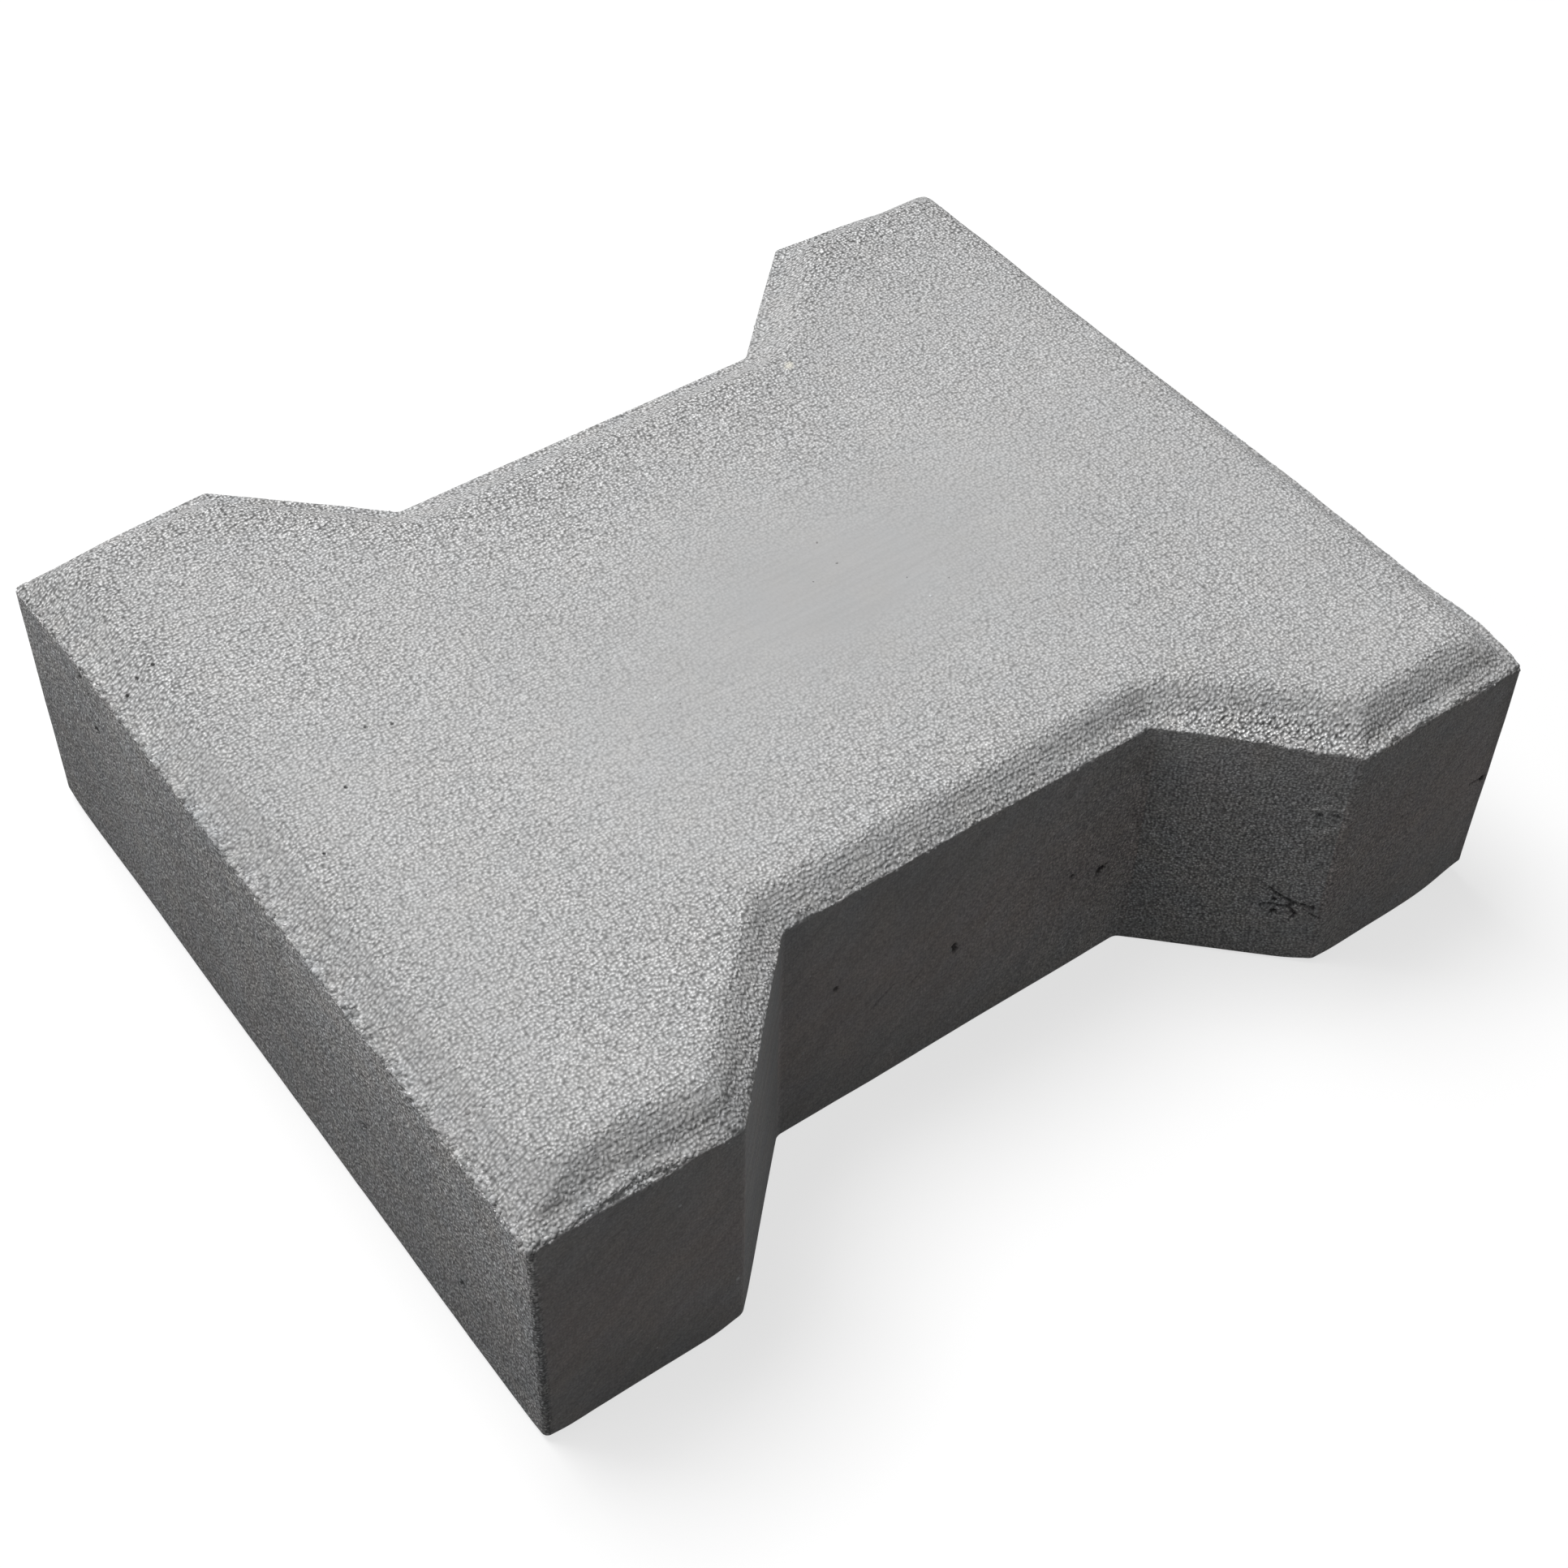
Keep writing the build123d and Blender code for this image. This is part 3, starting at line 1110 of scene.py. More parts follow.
def skin_points(tree, comes):
    """Where each point lies, in millimetres."""
    position = put(tree, "GeometryNodeInputPosition").outputs[0]
    place = in_millimetres(tree, position)
    x, y, z = parts_of(tree, place)
    above_lip = sum_of(tree, "SUBTRACT", z, comes["Lip Height"])
    return SimpleNamespace(position=position, place=place, x=x, y=y, z=z, above_lip=above_lip,
                           normal=put(tree, "GeometryNodeInputNormal").outputs[0],
                           inset=carried(tree, "inset"), outward=carried(tree, "outward", "FLOAT_VECTOR"),
                           calm=calmer_behind(tree, place, comes["Wear On Far Side"]),
                           on_left_lip=band(tree, x, -half_length, left_lip_reach))


print("the wear is calmer behind the line from", calm_from, "to", calm_to, "mm")

# %% [markdown]
# The lip's outer arris breaks away in short bites. In a few places a larger chip has come off and left a
# crumbled bevel with rubble in it, the longest on the near left flange. At the left end the bites are as
# small and close as teeth. All three are one cut by a slanting plane: it takes away what stands outside
# it, and noise pushes it in and out. How deep the cut is also tells the finish where to show raw paste.

# %% Bites, teeth and chips in the lip's arris
chips = [  # place, reach and strength
    ((-88.0, -half_width, lip_height), 4.0, 1.0),
    ((-82.5, -half_width, lip_height), 4.5, 1.2),
    ((-76.0, -half_width, lip_height), 4.5, 1.3),
    ((24.0, -web_face, lip_height), 4.0, 0.8),
    ((70.0, -half_width, lip_height), 3.5, 0.9),
    ((77.0, -half_width, lip_height), 3.0, 0.7),
    ((88.0, -half_width, lip_height), 5.0, 0.8),
    ((half_length, -half_width, lip_height), 3.0, 0.9),
]
steep_in, steep_down = 1.3, 1.0  # a chip bites less into the lip than down the wall
bite_layers = ((0.1, 3.0), (0.34, 2.2), (1.0, 2.0))  # waves per millimetre, and their weight
rubble_layers = ((0.5, 1.0), (1.2, 1.4))
tooth_waves = 0.85
tooth_depth = 9.0
tooth_share = 1.2
teeth_weight = 0.6
crumbled_from, crumbled_to = 0.1, 0.7


def crumbled_arris(tree, comes, at):
    """How far each point goes back and down, and how crumbled it is, from 0 to 1."""
    chipped = product(tree, around(tree, at.place, chips), comes["Chipping"])
    bites = product(tree, sum_of(tree, "MAXIMUM", layered(tree, at.place, bite_layers), 0.0), at.calm)
    tooth = total(tree, (tooth_depth, noise_at(tree, at.place, tooth_waves)), (tooth_share, 1.0))
    teeth = sum_of(tree, "MAXIMUM", product(tree, tooth, at.on_left_lip), 0.0)
    worn_off = product(tree, total(tree, (1.0, bites), (teeth_weight, teeth)), comes["Lip Wear"])
    rubble = product(tree, chipped, layered(tree, at.place, rubble_layers))
    bevel = total(tree, (1.0, worn_off), (1.0, chipped), (1.0, rubble))
    kept = total(tree, (steep_in, sum_of(tree, "MAXIMUM", at.inset, 0.0)), (-steep_down, at.above_lip))
    cut = sum_of(tree, "MAXIMUM", sum_of(tree, "SUBTRACT", bevel, kept), 0.0)
    bite = product(tree, cut, 1.0 / (steep_in + steep_down))
    return bite, graded(tree, cut, crumbled_from, crumbled_to)


print(len(chips), "chips in the lip")

# %% Lumps of paste on the lip
lump_layers = ((0.16, 1.4), (0.45, 1.6), (1.1, 1.2))
lumps_elsewhere = (40.0, 90.0, 17.0)  # read elsewhere, so that lumps and bites don't fall together
lump_band = (1.0, 1.5)  # inset and reach
lump_height_reach = 1.2
left_lumps = 0.6


def lumpy_lip(tree, comes, at):
    """Small rises and dips along the lip."""
    on_lip = product(tree, band(tree, at.inset, *lump_band), hump(tree, at.above_lip, lump_height_reach))
    elsewhere = vector_of(tree, "ADD", at.place, lumps_elsewhere)
    lumps = product(tree, layered(tree, elsewhere, lump_layers), on_lip, comes["Lip Roughness"])
    return product(tree, lumps, total(tree, (1.0, at.calm), (left_lumps, at.on_left_lip)))


print(len(lump_layers), "sizes of lumps")

# %% [markdown]
# The lip isn't level. The paste stands a little high along the middle of the front and higher at the back,
# and the brick's outer corners have sagged, each by its own amount, as corners do that were filled last
# and knocked first. A few bells round the corners say how much. Between them and the rest the change has to
# be soft, so the wall below the lip is drawn along with it.

# %% A lip that rises and sags
sags = [  # place, reach and drop; a negative drop holds the lip up
    ((-half_length, -half_width, lip_height), 14.0, 1.3),
    ((tip_length - half_length, -half_width, lip_height), 14.0, 2.3),
    ((half_length - tip_length, -half_width, lip_height), 15.0, 1.2),
    ((half_length, -half_width, lip_height), 18.0, 2.0),
    ((half_length, -73.0, lip_height), 9.5, -2.1),
    ((-half_length, half_width, lip_height), 17.0, 2.4),
    ((half_length, half_width, lip_height), 15.0, 1.8),
    ((half_length, 25.0, lip_height), 38.0, 1.0),
    ((half_length, 62.0, lip_height), 24.0, 2.3),
]
drawn_along = 9.0  # so far down the wall the lip draws the points along
rise_band = (-12.0, 45.0)  # where along the brick the front lip stands high, and its reach
back_fade = (30.0, 50.0)
back_left_fade = (-74.0, -45.0)
back_right_fade = (40.0, 70.0)
sag_width = 4.0


def risen_lip(tree, comes, at):
    """How far the lip and what hangs on it rise."""
    from_below = graded(tree, at.above_lip, -drawn_along, 0.0)
    from_above = graded(tree, at.above_lip, 0.0, edge_drop, 1.0, 0.0)
    risen = product(tree, band(tree, at.x, *rise_band), comes["Lip Rise"])
    risen_back = product(tree, graded(tree, at.y, *back_fade), graded(tree, at.x, *back_left_fade),
                         graded(tree, at.x, *back_right_fade, 1.0, 0.0))
    both = total(tree, (1.0, risen), (comes["Far Lip Rise"], risen_back))
    return product(tree, both, product(tree, from_below, from_above))


def sagging_corners(tree, comes, at):
    """How far the outer corners of the lip go down."""
    outermost = graded(tree, at.inset, 0.0, sag_width, 1.0, 0.0)
    from_below = graded(tree, at.above_lip, -drawn_along, 0.0)
    sag = product(tree, around(tree, at.place, sags), comes["Corner Sag"])
    return product(tree, sag, product(tree, outermost, from_below))


print(len(sags), "places where the lip sags or is held up")

# %% [markdown]
# Along the middle of the front, sand has packed into the corner between lip and slope, so that the edge is
# one slanting ramp there. The tree lifts each point up to that ramp where it lies below it. At the foot,
# the brick's corners were knocked off, and their points go up into the brick.

# %% A filled lip and knocked-off foot corners
filled_left = (-72.0, -60.0)
filled_right = (10.0, 45.0)
ramp_start = 0.2  # inset where the ramp begins
ramp_rounding = 1.5
filled_inside = 0.5
filled_above = -0.2
foot_wear = [  # place, reach and depth
    ((-half_length, half_width, 0.0), 4.0, 1.8),
    ((-half_length, -half_width, 0.0), 3.0, 0.8),
    ((tip_length - half_length, -half_width, 0.0), 3.5, 1.3),
    ((half_length - tip_length, -half_width, 0.0), 3.5, 0.7),
    ((half_length, -half_width, 0.0), 7.5, 3.3),
]
foot_height = 9.0


def filled_lip(tree, comes, at):
    """How far the packed sand lifts the lip at the front."""
    where = product(tree, graded(tree, at.x, *filled_left), graded(tree, at.x, *filled_right, 1.0, 0.0),
                    sum_of(tree, "LESS_THAN", at.y, 0.0))
    straight = product(tree, sum_of(tree, "SUBTRACT", at.inset, ramp_start), comes["Fill Steepness"])
    ramp = sum_of(tree, "SMOOTH_MIN", straight, edge_drop, ramp_rounding)
    short = sum_of(tree, "MAXIMUM", sum_of(tree, "SUBTRACT", ramp, at.above_lip), 0.0)
    on_top = product(tree, sum_of(tree, "GREATER_THAN", at.inset, filled_inside),
                     sum_of(tree, "GREATER_THAN", at.above_lip, filled_above))
    return product(tree, short, product(tree, where, on_top))


def knocked_off(tree, comes, at):
    """How far the foot's corners go up into the brick."""
    from_foot = graded(tree, at.z, 0.0, foot_height, 1.0, 0.0)
    return product(tree, around(tree, at.place, foot_wear), from_foot, comes["Foot Wear"])


print(len(foot_wear), "knocked-off foot corners")

# %% [markdown]
# The press didn't come down quite in the middle of the mould. The whole crest is shifted a little to the
# right, and at three places the slope has moved sideways, which leaves a wider lip below it. The crest also
# wanders along its length.

# %% A crest that wanders and is shifted
crown_moves = [  # place, reach and shift of the slope
    ((-84.0, -76.0, thickness), 19.0, (-1.2, 1.8, 0.0)),
    ((52.0, -68.0, thickness), 13.0, (0.8, 0.8, 0.0)),
    ((82.0, -74.0, thickness), 18.0, (0.0, 1.0, 0.0)),
]
straight_crown = (-48.0, -68.0, thickness)  # here the crest keeps its place
straight_reach = 15.0
crest_reach = 2.6
shift_reach = 4.0
slope_reach = 6.0
crown_foot = (0.0, 1.5)  # above the lip, where the crown's moves begin and where they are whole
slope_foot = (0.0, 0.3)
wander_waves = 0.05
wander_detail = 2.0


def moved_crown(tree, comes, at):
    """How far the crest and the slope move sideways, as a vector."""
    from_crest = sum_of(tree, "SUBTRACT", at.inset, comes["Crest Inset"])
    on_crown = graded(tree, at.above_lip, *crown_foot)
    crest = product(tree, hump(tree, from_crest, crest_reach), on_crown)
    wander = product(tree, noise_at(tree, at.place, wander_waves, wander_detail), comes["Crest Wander"])
    wandered = vector_of(tree, "SCALE", at.outward, scale=product(tree, crest, wander))
    kept = sum_of(tree, "SUBTRACT", 1.0, near(tree, at.place, straight_crown, straight_reach))
    shift_share = product(tree, hump(tree, from_crest, shift_reach), on_crown, kept)
    shifted = vector_of(tree, "SCALE", comes["Crown Shift"], scale=shift_share)
    sideways = vector_of(tree, "ADD", wandered, shifted)
    whole_slope = product(tree, hump(tree, from_crest, slope_reach), graded(tree, at.above_lip, *slope_foot))
    for centre, reach, shift in crown_moves:
        share = product(tree, near(tree, at.place, centre, reach), whole_slope)
        sideways = vector_of(tree, "ADD", sideways, vector_of(tree, "SCALE", shift, scale=share))
    return sideways


print(len(crown_moves), "places where the slope has moved")

# %% [markdown]
# The marks listed above come in as an object of bare points. Each point of the skin looks for the nearest
# one, with its reach and depth, and sinks along its own normal. Noise makes the mark's rim ragged. A mark's
# darkness is painted shade, kept apart from its depth: shallow marks stay pale, and only a deep hole is
# painted dark, where its shade would fall.

# %% Low relief and the brick's own marks
relief_layers = ((0.03, 1.0), (0.14, 0.2), (0.42, 0.05))
rim_waves = 1.4
rim_raggedness = 0.8  # a share of the mark's reach
floor_share = 0.25  # a mark is deepest within this share of its reach
dark_from, dark_to = 0.95, 0.5
dark_depth = 0.45  # from this depth a mark is as dark as it gets


def sunk_marks(tree, comes, at):
    """How far each point sinks, how dark its painted shade is, and how pale."""
    marked = put(tree, "GeometryNodeObjectInfo", {"Object": comes["Marks"]}).outputs["Geometry"]
    nearest = put(tree, "GeometryNodeSampleNearest", {"Geometry": marked}, domain="POINT").outputs["Index"]

    def of_mark(value, kind="FLOAT"):
        feeds = {"Geometry": marked, "Value": value, "Index": nearest}
        return put(tree, "GeometryNodeSampleIndex", feeds, data_type=kind, domain="POINT").outputs[0]

    offset = vector_of(tree, "SUBTRACT", at.position, of_mark(at.position, "FLOAT_VECTOR"))
    gap = sum_of(tree, "DIVIDE", measure_of(tree, "LENGTH", offset), MM)
    reach = of_mark(carried(tree, "reach"))
    ragged = product(tree, noise_at(tree, at.place, rim_waves, 1.0), product(tree, reach, rim_raggedness))
    gap = sum_of(tree, "ADD", ragged, gap)
    mark_depth = of_mark(carried(tree, "depth"))
    pit = graded(tree, gap, reach, product(tree, reach, floor_share), kind="SMOOTHSTEP")
    # painted shade: a mark is painted darker the deeper it is
    dark = graded(tree, gap, product(tree, reach, dark_from), product(tree, reach, dark_to),
                  kind="SMOOTHSTEP")
    hollow = product(tree, dark, graded(tree, mark_depth, 0.0, dark_depth))
    pale = product(tree, pit, sum_of(tree, "LESS_THAN", mark_depth, 0.0))
    layers = layered(tree, at.place, relief_layers, 0.0)
    relief = product(tree, sum_of(tree, "ADD", layers, 0.5), comes["Relief"])
    return sum_of(tree, "MULTIPLY_ADD", pit, mark_depth, relief), hollow, pale


print("relief in", len(relief_layers), "sizes")

# %% [markdown]
# Now everything is added up. The upward and downward shares go into one number, the sideways ones into
# vectors, and the result is held in the solid's box. The mesh then carries what the finishes read, and the
# side finish is given to the walls below the lip, but not to a crumbled bevel, which shows raw paste.

# %% Add up the wear
side_below = -0.35  # above the lip
raw_paste = 0.5


def store(tree, geometry, name, value, domain="POINT"):
    """Writes a number at each point, for a finish or another tree to read."""
    feeds = {"Geometry": geometry, "Name": name, "Value": value}
    return put(tree, "GeometryNodeStoreNamedAttribute", feeds, data_type="FLOAT", domain=domain).outputs[0]


def kept_inside(tree, place, comes):
    """A place held in the box between Lowest and Highest, in metres again."""
    inside = vector_of(tree, "MINIMUM", vector_of(tree, "MAXIMUM", place, comes["Lowest"]), comes["Highest"])
    return vector_of(tree, "SCALE", inside, scale=MM)


def worn_skin_tree():
    """Relief over every face, a crumbled lip, a wandering crest and the brick's own marks."""
    tree, comes, goes = new_skin_tree()
    at = skin_points(tree, comes)
    bite, crumbled = crumbled_arris(tree, comes, at)
    lifted = total(tree, (1.0, risen_lip(tree, comes, at)), (-1.0, sagging_corners(tree, comes, at)),
                   (1.0, filled_lip(tree, comes, at)), (-1.0, bite), (1.0, lumpy_lip(tree, comes, at)),
                   (1.0, knocked_off(tree, comes, at)))
    sunk, hollow, pale = sunk_marks(tree, comes, at)
    moved = at.place
    for step in (vector_of(tree, "SCALE", at.outward, scale=product(tree, bite, -1.0)),
                 vector_from(tree, 0.0, 0.0, lifted), moved_crown(tree, comes, at),
                 vector_of(tree, "SCALE", at.normal, scale=product(tree, sunk, -1.0))):
        moved = vector_of(tree, "ADD", moved, step)

    geometry = comes["Geometry"]
    to_carry = {"pit": hollow, "pale": pale, "crumbled": crumbled, "above_lip": at.above_lip}
    for name, value in to_carry.items():
        geometry = store(tree, geometry, name, value)
    target = kept_inside(tree, moved, comes)
    worn = put(tree, "GeometryNodeSetPosition", {"Geometry": geometry, "Position": target})
    smooth = put(tree, "GeometryNodeSetShadeSmooth", {"Geometry": worn.outputs[0], "Shade Smooth": True})
    real = put(tree, "GeometryNodeRealizeInstances", {"Geometry": smooth.outputs[0]})
    below = product(tree, sum_of(tree, "LESS_THAN", carried(tree, "above_lip"), side_below),
                    sum_of(tree, "LESS_THAN", carried(tree, "crumbled"), raw_paste))
    face = put(tree, "GeometryNodeSetMaterial", {"Geometry": real.outputs[0],
                                                 "Material": comes["Face Finish"]})
    side = put(tree, "GeometryNodeSetMaterial", {"Geometry": face.outputs[0], "Selection": below,
                                                 "Material": comes["Side Finish"]})
    tree.links.new(side.outputs[0], goes["Geometry"])
    return tree


skin_tree = worn_skin_tree()
print("the skin's tree has", len(skin_tree.nodes), "nodes")

# %% [markdown]
# A tree is run by a modifier. The finished mesh is read back as plain triangles and quads and the modifier
# is taken off again, so that nothing live is left on the piece.

# %% Run a tree and keep the mesh
def run_tree(name, mesh, tree, values):
    """Runs a Geometry Nodes tree on a mesh, and keeps the result as a plain mesh object."""
    piece = bpy.data.objects.new(name, mesh)
    bpy.context.scene.collection.objects.link(piece)
    modifier = piece.modifiers.new(name, "NODES")
    modifier.node_group = tree
    sockets = {s.name: s.identifier for s in tree.interface.items_tree if s.in_out == "INPUT"}
    for label, value in values.items():
        modifier[sockets[label]] = value
    evaluated = piece.evaluated_get(bpy.context.evaluated_depsgraph_get())
    finished = bpy.data.meshes.new_from_object(evaluated)
    piece.modifiers.remove(modifier)
    piece.data = finished
    finished.name = name
    finished.calc_loop_triangles()
    print(name, "has", len(finished.loop_triangles), "triangles")
    return piece


def marks_object():
    """A bare object whose points are the marks, with their reach and depth."""
    mesh = bpy.data.meshes.new("marks")
    mesh.from_pydata([tuple(c * MM for c in place) for place, reach, depth in marks], [], [])
    for name, values in (("reach", [m[1] for m in marks]), ("depth", [m[2] for m in marks])):
        mesh.attributes.new(name, "FLOAT", "POINT").data.foreach_set("value", values)
    made = bpy.data.objects.new("marks", mesh)
    bpy.context.scene.collection.objects.link(made)
    return made


marks_places = marks_object()
print("the marks are", len(marks_places.data.vertices), "points")

# %% Wear the skin
brick_box = {"Lowest": tuple(v / MM for v in low), "Highest": tuple(v / MM for v in high)}

skin = run_tree("brick_skin", brick_base, skin_tree, {
    "Relief": 0.35,
    "Lip Wear": 0.8,
    "Lip Roughness": 0.5,
    "Wear On Far Side": 0.12,
    "Lip Rise": 0.3,
    "Far Lip Rise": 1.3,
    "Foot Wear": 1.0,
    "Fill Steepness": 0.7,
    "Corner Sag": 1.0,
    "Chipping": 1.0,
    "Crest Wander": 1.6,
    "Crown Shift": (1.3, -0.3, 0.0),
    "Lip Height": lip_height,
    "Crest Inset": edge_width,
    "Marks": marks_places,
    "Face Finish": pressed_face,
    "Side Finish": moulded_side,
    **brick_box,
})
bpy.data.objects.remove(marks_places)
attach(skin, BODY)
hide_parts(NODE)
print("skin:", [m.name for m in skin.data.materials])

# %% [markdown]
# ## Loose sand, scattered with Geometry Nodes
#
# Thousands of grains could be placed by hand or by a particle system. Geometry Nodes scatter them in one
# step, thickest on the lip, in the chips, at the left end and in the gritty corner, thinner on the slope,
# and hardly any elsewhere. Every grain is a ball of twenty faces, squeezed and turned at random and sunk
# into the paste, and then made real for the export.

# %% Where the sand lies
sand_lip = (0.8, 1.0)  # inset and reach
sand_lip_height = 0.9
sand_slope_reach = 2.4
slope_share = 0.6  # how far up the slope, as a share of the crest's inset
clump_waves = 0.12
clump_contrast = 4.5
least_clump = 0.1
sand_slope_foot = 0.3  # above the lip
end_sand_reach = 3.0
extra_sand = {"corner": 3.0, "left_end": 6.0, "plain": 1.0}


def sand_density(tree, comes, place):
    """Grains per square metre."""
    inset, above_lip, crumbled = [carried(tree, name) for name in ("inset", "above_lip", "crumbled")]
    on_lip = product(tree, band(tree, inset, *sand_lip), hump(tree, above_lip, sand_lip_height))
    half_way = product(tree, comes["Crest Inset"], slope_share)
    on_slope = product(tree, band(tree, inset, half_way, sand_slope_reach),
                       sum_of(tree, "GREATER_THAN", above_lip, sand_slope_foot))
    noise = noise_at(tree, place, clump_waves, 2.0)
    clumps = sum_of(tree, "MAXIMUM", sum_of(tree, "MULTIPLY_ADD", noise, clump_contrast, 1.0), least_clump)
    thick = total(tree, (comes["On Lip"], on_lip), (comes["On Slope"], on_slope),
                  (comes["On Chips"], crumbled))
    thick = product(tree, thick, product(tree, clumps, calmer_behind(tree, place, comes["On Far Side"])))
    more = weighted(tree, extra_sand, corner=near(tree, place, gritty_corner, gritty_reach),
                    left_end=band(tree, parts_of(tree, place)[0], -half_length, end_sand_reach))
    thick = product(tree, thick, more)
    return product(tree, sum_of(tree, "ADD", thick, comes["Elsewhere"]), 1 / MM ** 2)


print("sand is", extra_sand["left_end"], "times thicker at the left end")

# %% Scatter the sand
large_rarity = 2.5  # a higher power leaves fewer large grains
squeezed = ((0.75, 0.75, 0.75), (1.3, 1.3, 1.3))
turned = ((0.0, 0.0, 0.0), (math.tau, math.tau, math.tau))
ball_points = 12  # of a ball with twenty faces


def new_sand_tree():
    """The empty tree with its named inputs."""
    return new_tree("scattered_sand", "GeometryNodeTree", [
        ("Geometry", "NodeSocketGeometry", None),
        ("On Lip", "NodeSocketFloat", 1.0),
        ("On Slope", "NodeSocketFloat", 0.4),
        ("On Chips", "NodeSocketFloat", 0.5),
        ("Elsewhere", "NodeSocketFloat", 0.0),
        ("On Far Side", "NodeSocketFloat", 0.2),
        ("Smallest", "NodeSocketFloat", 0.16),
        ("Largest", "NodeSocketFloat", 0.5),
        ("Sunk", "NodeSocketFloat", 0.3),
        ("Crest Inset", "NodeSocketFloat", 7.0),
        ("Lowest", "NodeSocketVector", None),
        ("Highest", "NodeSocketVector", None),
        ("Finish", "NodeSocketMaterial", None),
    ], [("Geometry", "NodeSocketGeometry")])


def random_between(tree, span, seed, kind="FLOAT"):
    """One random value for each grain."""
    first, output = (2, 1) if kind == "FLOAT" else (0, 0)
    feeds = {first: span[0], first + 1: span[1], "Seed": seed}
    return put(tree, "FunctionNodeRandomValue", feeds, data_type=kind).outputs[output]


def sand_tree():
    """Grains on the skin, as one mesh of real balls."""
    tree, comes, goes = new_sand_tree()
    place = in_millimetres(tree, put(tree, "GeometryNodeInputPosition").outputs[0])
    density = sand_density(tree, comes, place)
    points = put(tree, "GeometryNodeDistributePointsOnFaces",
                 {"Mesh": comes["Geometry"], "Density": density, "Seed": 11}, distribute_method="RANDOM")
    few_large = sum_of(tree, "POWER", random_between(tree, (0.0, 1.0), 3), large_rarity)
    spread = sum_of(tree, "SUBTRACT", comes["Largest"], comes["Smallest"])
    radius = product(tree, sum_of(tree, "MULTIPLY_ADD", few_large, spread, comes["Smallest"]), MM)
    squeeze = random_between(tree, squeezed, 5, "FLOAT_VECTOR")
    turn = random_between(tree, turned, 7, "FLOAT_VECTOR")
    sink = product(tree, radius, comes["Sunk"], -1.0)
    lowered = put(tree, "GeometryNodeSetPosition", {
        "Geometry": points.outputs["Points"],
        "Offset": vector_of(tree, "SCALE", points.outputs["Normal"], scale=sink)})
    ball = put(tree, "GeometryNodeMeshIcoSphere", {"Radius": 1.0, "Subdivisions": 1}).outputs["Mesh"]
    grains = put(tree, "GeometryNodeInstanceOnPoints", {
        "Points": lowered.outputs[0], "Instance": ball, "Rotation": turn,
        "Scale": vector_of(tree, "SCALE", squeeze, scale=radius)})
    shaded = store(tree, grains.outputs[0], "shade", random_between(tree, (0.0, 1.0), 9), "INSTANCE")
    real = put(tree, "GeometryNodeRealizeInstances", {"Geometry": shaded})
    kept = put(tree, "GeometryNodeSetPosition", {"Geometry": real.outputs[0],
                                                "Position": kept_inside(tree, place, comes)})
    smooth = put(tree, "GeometryNodeSetShadeSmooth", {"Geometry": kept.outputs[0], "Shade Smooth": True})
    finished = put(tree, "GeometryNodeSetMaterial", {"Geometry": smooth.outputs[0],
                                                     "Material": comes["Finish"]})
    tree.links.new(finished.outputs[0], goes["Geometry"])
    return tree


sand = run_tree("loose_sand", skin.data.copy(), sand_tree(), {
    "On Lip": 0.7,
    "On Slope": 0.12,
    "On Chips": 0.6,
    "Elsewhere": 0.004,
    "On Far Side": 0.15,
    "Smallest": 0.22,
    "Largest": 0.55,
    "Sunk": 0.55,
    "Crest Inset": edge_width,
    "Finish": loose_sand,
    **brick_box,
})
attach(sand, BODY)
print("sand grains:", len(sand.data.vertices) // ball_points)

# %% [markdown]
# ## Floor, light and camera
#
# The brick lies on a plain pale floor. A pale floor would throw much light back on the sides, which are
# dark in this light, so what the camera sees of the floor and what lights the brick are kept apart: the
# camera sees a nearly white floor with a soft shadow, and the brick sees a dull one. The main lamp hangs
# high behind the brick, a little to the left, and a weak one stands far to the left.

# %% The floor and the world
floor_half = 4.0
floor_seen = 0.35
floor_glow = 0.7
floor_bounce = 0.12
ambient = 0.14


def seen_directly(tree):
    """1 for camera rays and for rays that came by way of gloss or glass."""
    path = tree.nodes.new("ShaderNodeLightPath").outputs
    either = sum_of(tree, "MAXIMUM", path["Is Camera Ray"], path["Is Glossy Ray"])
    return sum_of(tree, "MAXIMUM", either, path["Is Transmission Ray"])


def pale_floor():
    """A large plain floor under the brick."""
    mesh = bpy.data.meshes.new("floor")
    corners = [(-floor_half, -floor_half, 0), (floor_half, -floor_half, 0),
               (floor_half, floor_half, 0), (-floor_half, floor_half, 0)]
    mesh.from_pydata(corners, [], [(0, 1, 2, 3)])
    floor = bpy.data.objects.new("floor", mesh)
    bpy.context.scene.collection.objects.link(floor)
    material = bpy.data.materials.new("floor")
    material.use_nodes = True
    tree = material.node_tree
    tree.nodes.clear()
    dull = put(tree, "ShaderNodeBsdfDiffuse", {"Color": (floor_bounce, floor_bounce, floor_bounce, 1)})
    bright = put(tree, "ShaderNodeBsdfDiffuse", {"Color": (floor_seen, floor_seen, floor_seen, 1)})
    glow = put(tree, "ShaderNodeEmission", {"Color": (1, 1, 1, 1), "Strength": floor_glow})
    lit = put(tree, "ShaderNodeAddShader", {0: bright.outputs[0], 1: glow.outputs[0]})
    mixed = put(tree, "ShaderNodeMixShader", {0: seen_directly(tree), 1: dull.outputs[0], 2: lit.outputs[0]})
    output = tree.nodes.new("ShaderNodeOutputMaterial")
    tree.links.new(mixed.outputs[0], output.inputs["Surface"])
    mesh.materials.append(material)
    return floor


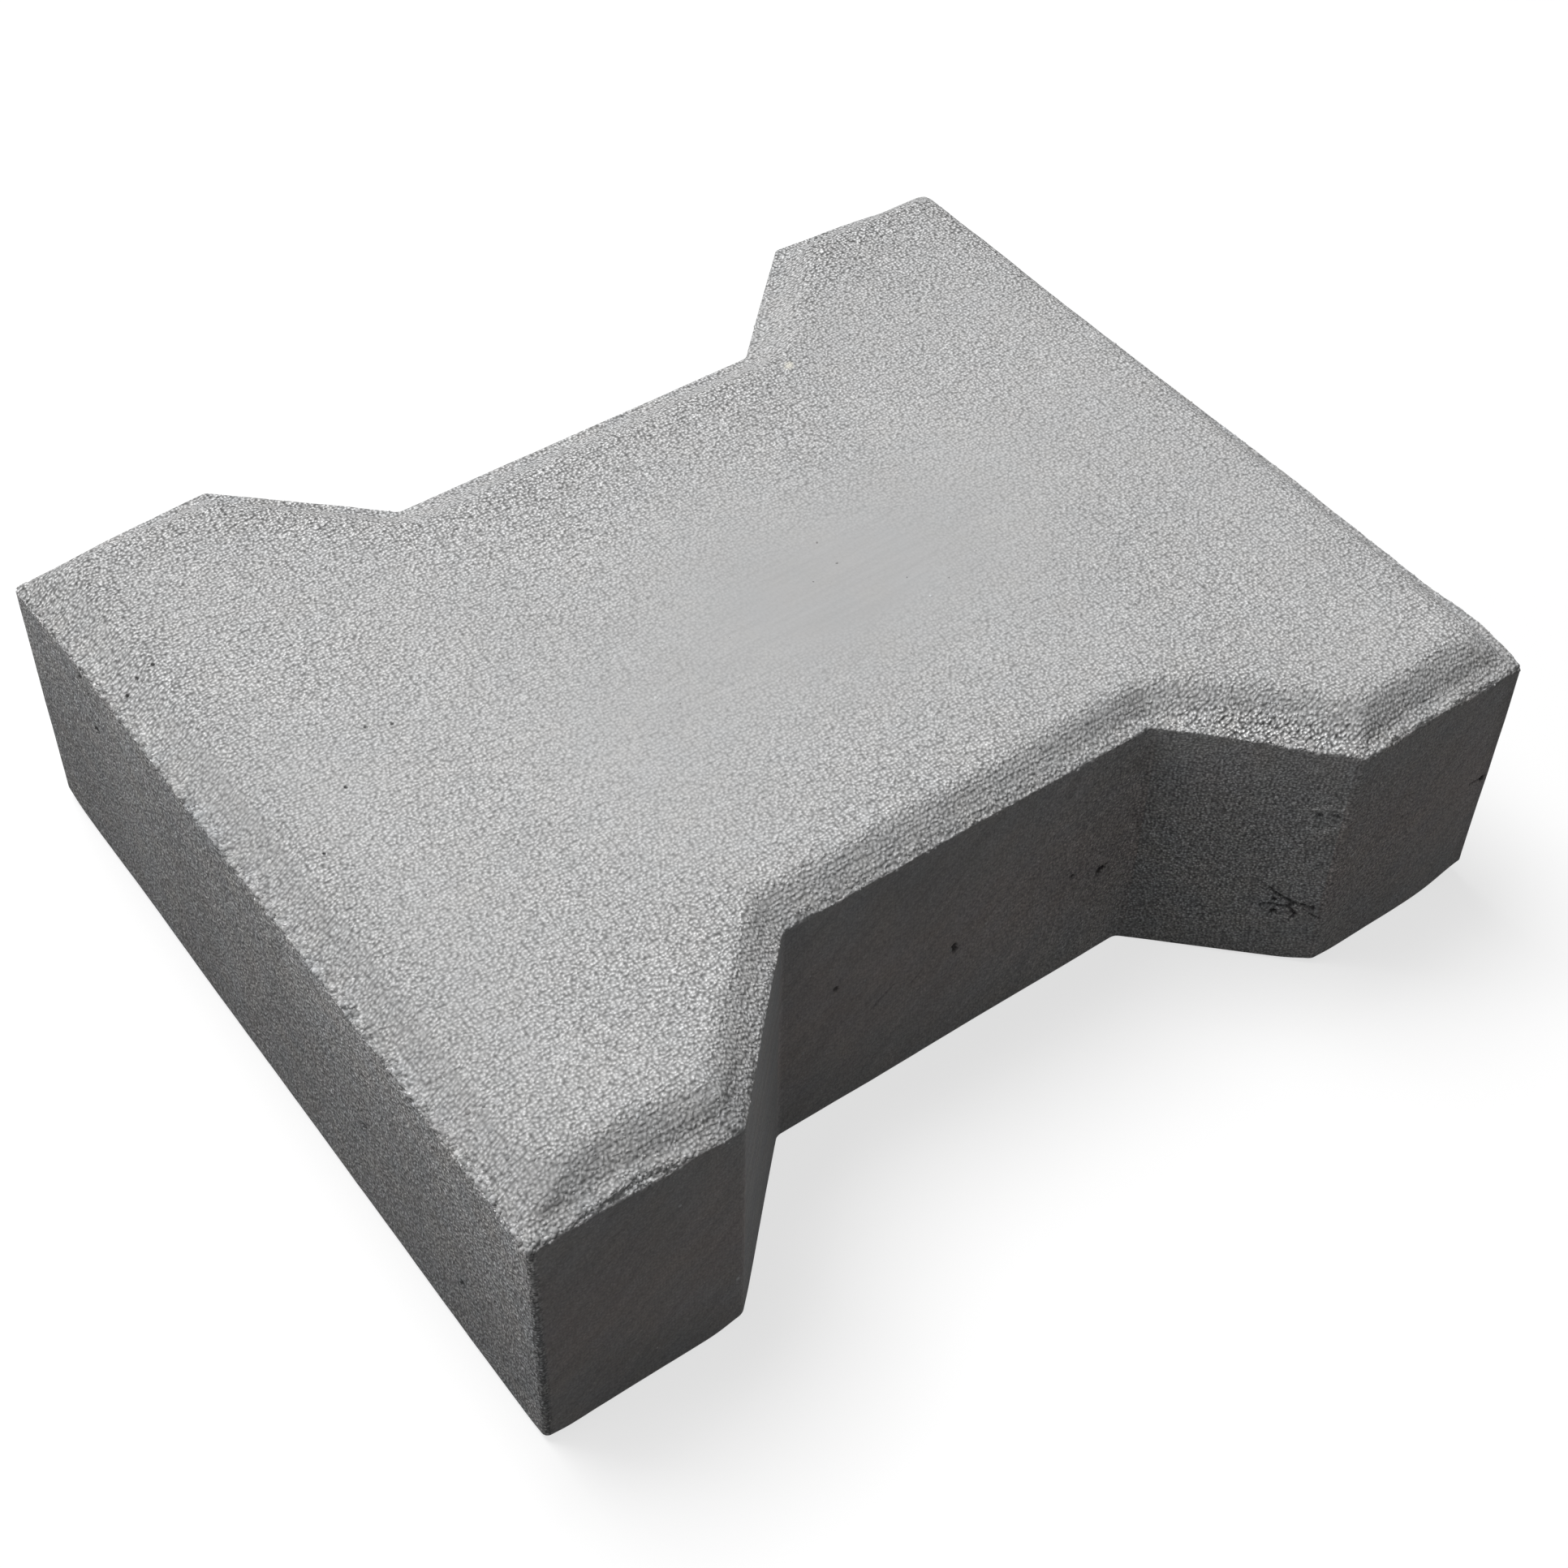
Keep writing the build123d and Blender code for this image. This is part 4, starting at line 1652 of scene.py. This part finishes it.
def studio_world():
    """White where it is seen, and a weak even light on the brick."""
    world = bpy.data.worlds.new("studio")
    world.use_nodes = True
    tree = world.node_tree
    tree.nodes.clear()
    strength = sum_of(tree, "MULTIPLY_ADD", seen_directly(tree), 1.0 - ambient, ambient)
    background = put(tree, "ShaderNodeBackground", {"Color": (1, 1, 1, 1), "Strength": strength})
    output = tree.nodes.new("ShaderNodeOutputWorld")
    tree.links.new(background.outputs[0], output.inputs["Surface"])
    bpy.context.scene.world = world


pale_floor()
studio_world()
print("floor", 2 * floor_half, "m wide")

# %% [markdown]
# A lamp's power is hard to judge by eye. The helper takes the light that should fall on a sheet facing the
# lamp, where 1 shows colours as they are written, and works out the power from the distance.

# %% Lamps
def soft_lamp(name, direction, distance, size, light):
    """A square lamp facing the brick. light is what it gives to a sheet that faces it, where 1 shows
    colours as they are written."""
    towards = Vector(direction).normalized()
    lamp = bpy.data.lights.new(name, "AREA")
    lamp.shape = "SQUARE"
    lamp.size = size
    lamp.energy = light * math.pi ** 2 * distance ** 2
    holder = bpy.data.objects.new(name, lamp)
    holder.location = towards * distance + Vector((0, 0, thickness * MM))
    holder.rotation_mode = "QUATERNION"
    holder.rotation_quaternion = (-towards).to_track_quat("-Z", "Y")
    bpy.context.scene.collection.objects.link(holder)
    return holder


soft_lamp("high_lamp", direction=(-0.12, 0.30, 0.80), distance=1.8, size=1.0, light=0.98)
soft_lamp("left_lamp", direction=(-0.9, 0.1, 0.25), distance=1.2, size=0.5, light=0.15)
print("two lamps")

# %% [markdown]
# The camera stands where the photographer stood: left of the near side, looking down at about 48
# degrees. It is tilted by a degree and a half, as a camera held by hand is.

# %% The camera
view_azimuth = math.radians(-37.41)
view_elevation = math.radians(48.0)
view_roll = math.radians(1.68)
view_distance = 459.8  # from the aim to the lens
view_aim = Vector((-5.62, -14.68, 30.27))
lens_length = 60.76
film_width = 36.0


def hand_held_camera():
    """A camera at the photograph's place, with no shift."""
    back = Vector((math.sin(view_azimuth) * math.cos(view_elevation),
                   -math.cos(view_azimuth) * math.cos(view_elevation),
                   math.sin(view_elevation)))
    camera = bpy.data.cameras.new("camera")
    camera.lens = lens_length
    camera.sensor_width = film_width
    holder = bpy.data.objects.new("camera", camera)
    level = (-back).to_track_quat("-Z", "Y").to_matrix().to_4x4()
    place = Matrix.Translation((view_aim + back * view_distance) * MM)
    holder.matrix_world = place @ level @ Matrix.Rotation(view_roll, 4, "Z")
    bpy.context.scene.collection.objects.link(holder)
    bpy.context.scene.camera = holder
    return holder


camera_holder = hand_held_camera()
bpy.context.scene.view_settings.view_transform = "Standard"
print("camera at", [round(c / MM, 1) for c in camera_holder.matrix_world.translation], "mm")

# %% [markdown]
# ## Finish
#
# The trees above keep the finished brick inside the box of the solid. The finished brick has to stay inside
# the box of the checked solid. Last, the scene is brought up to date.

# %% Bring the scene up to date
bpy.context.view_layer.update()
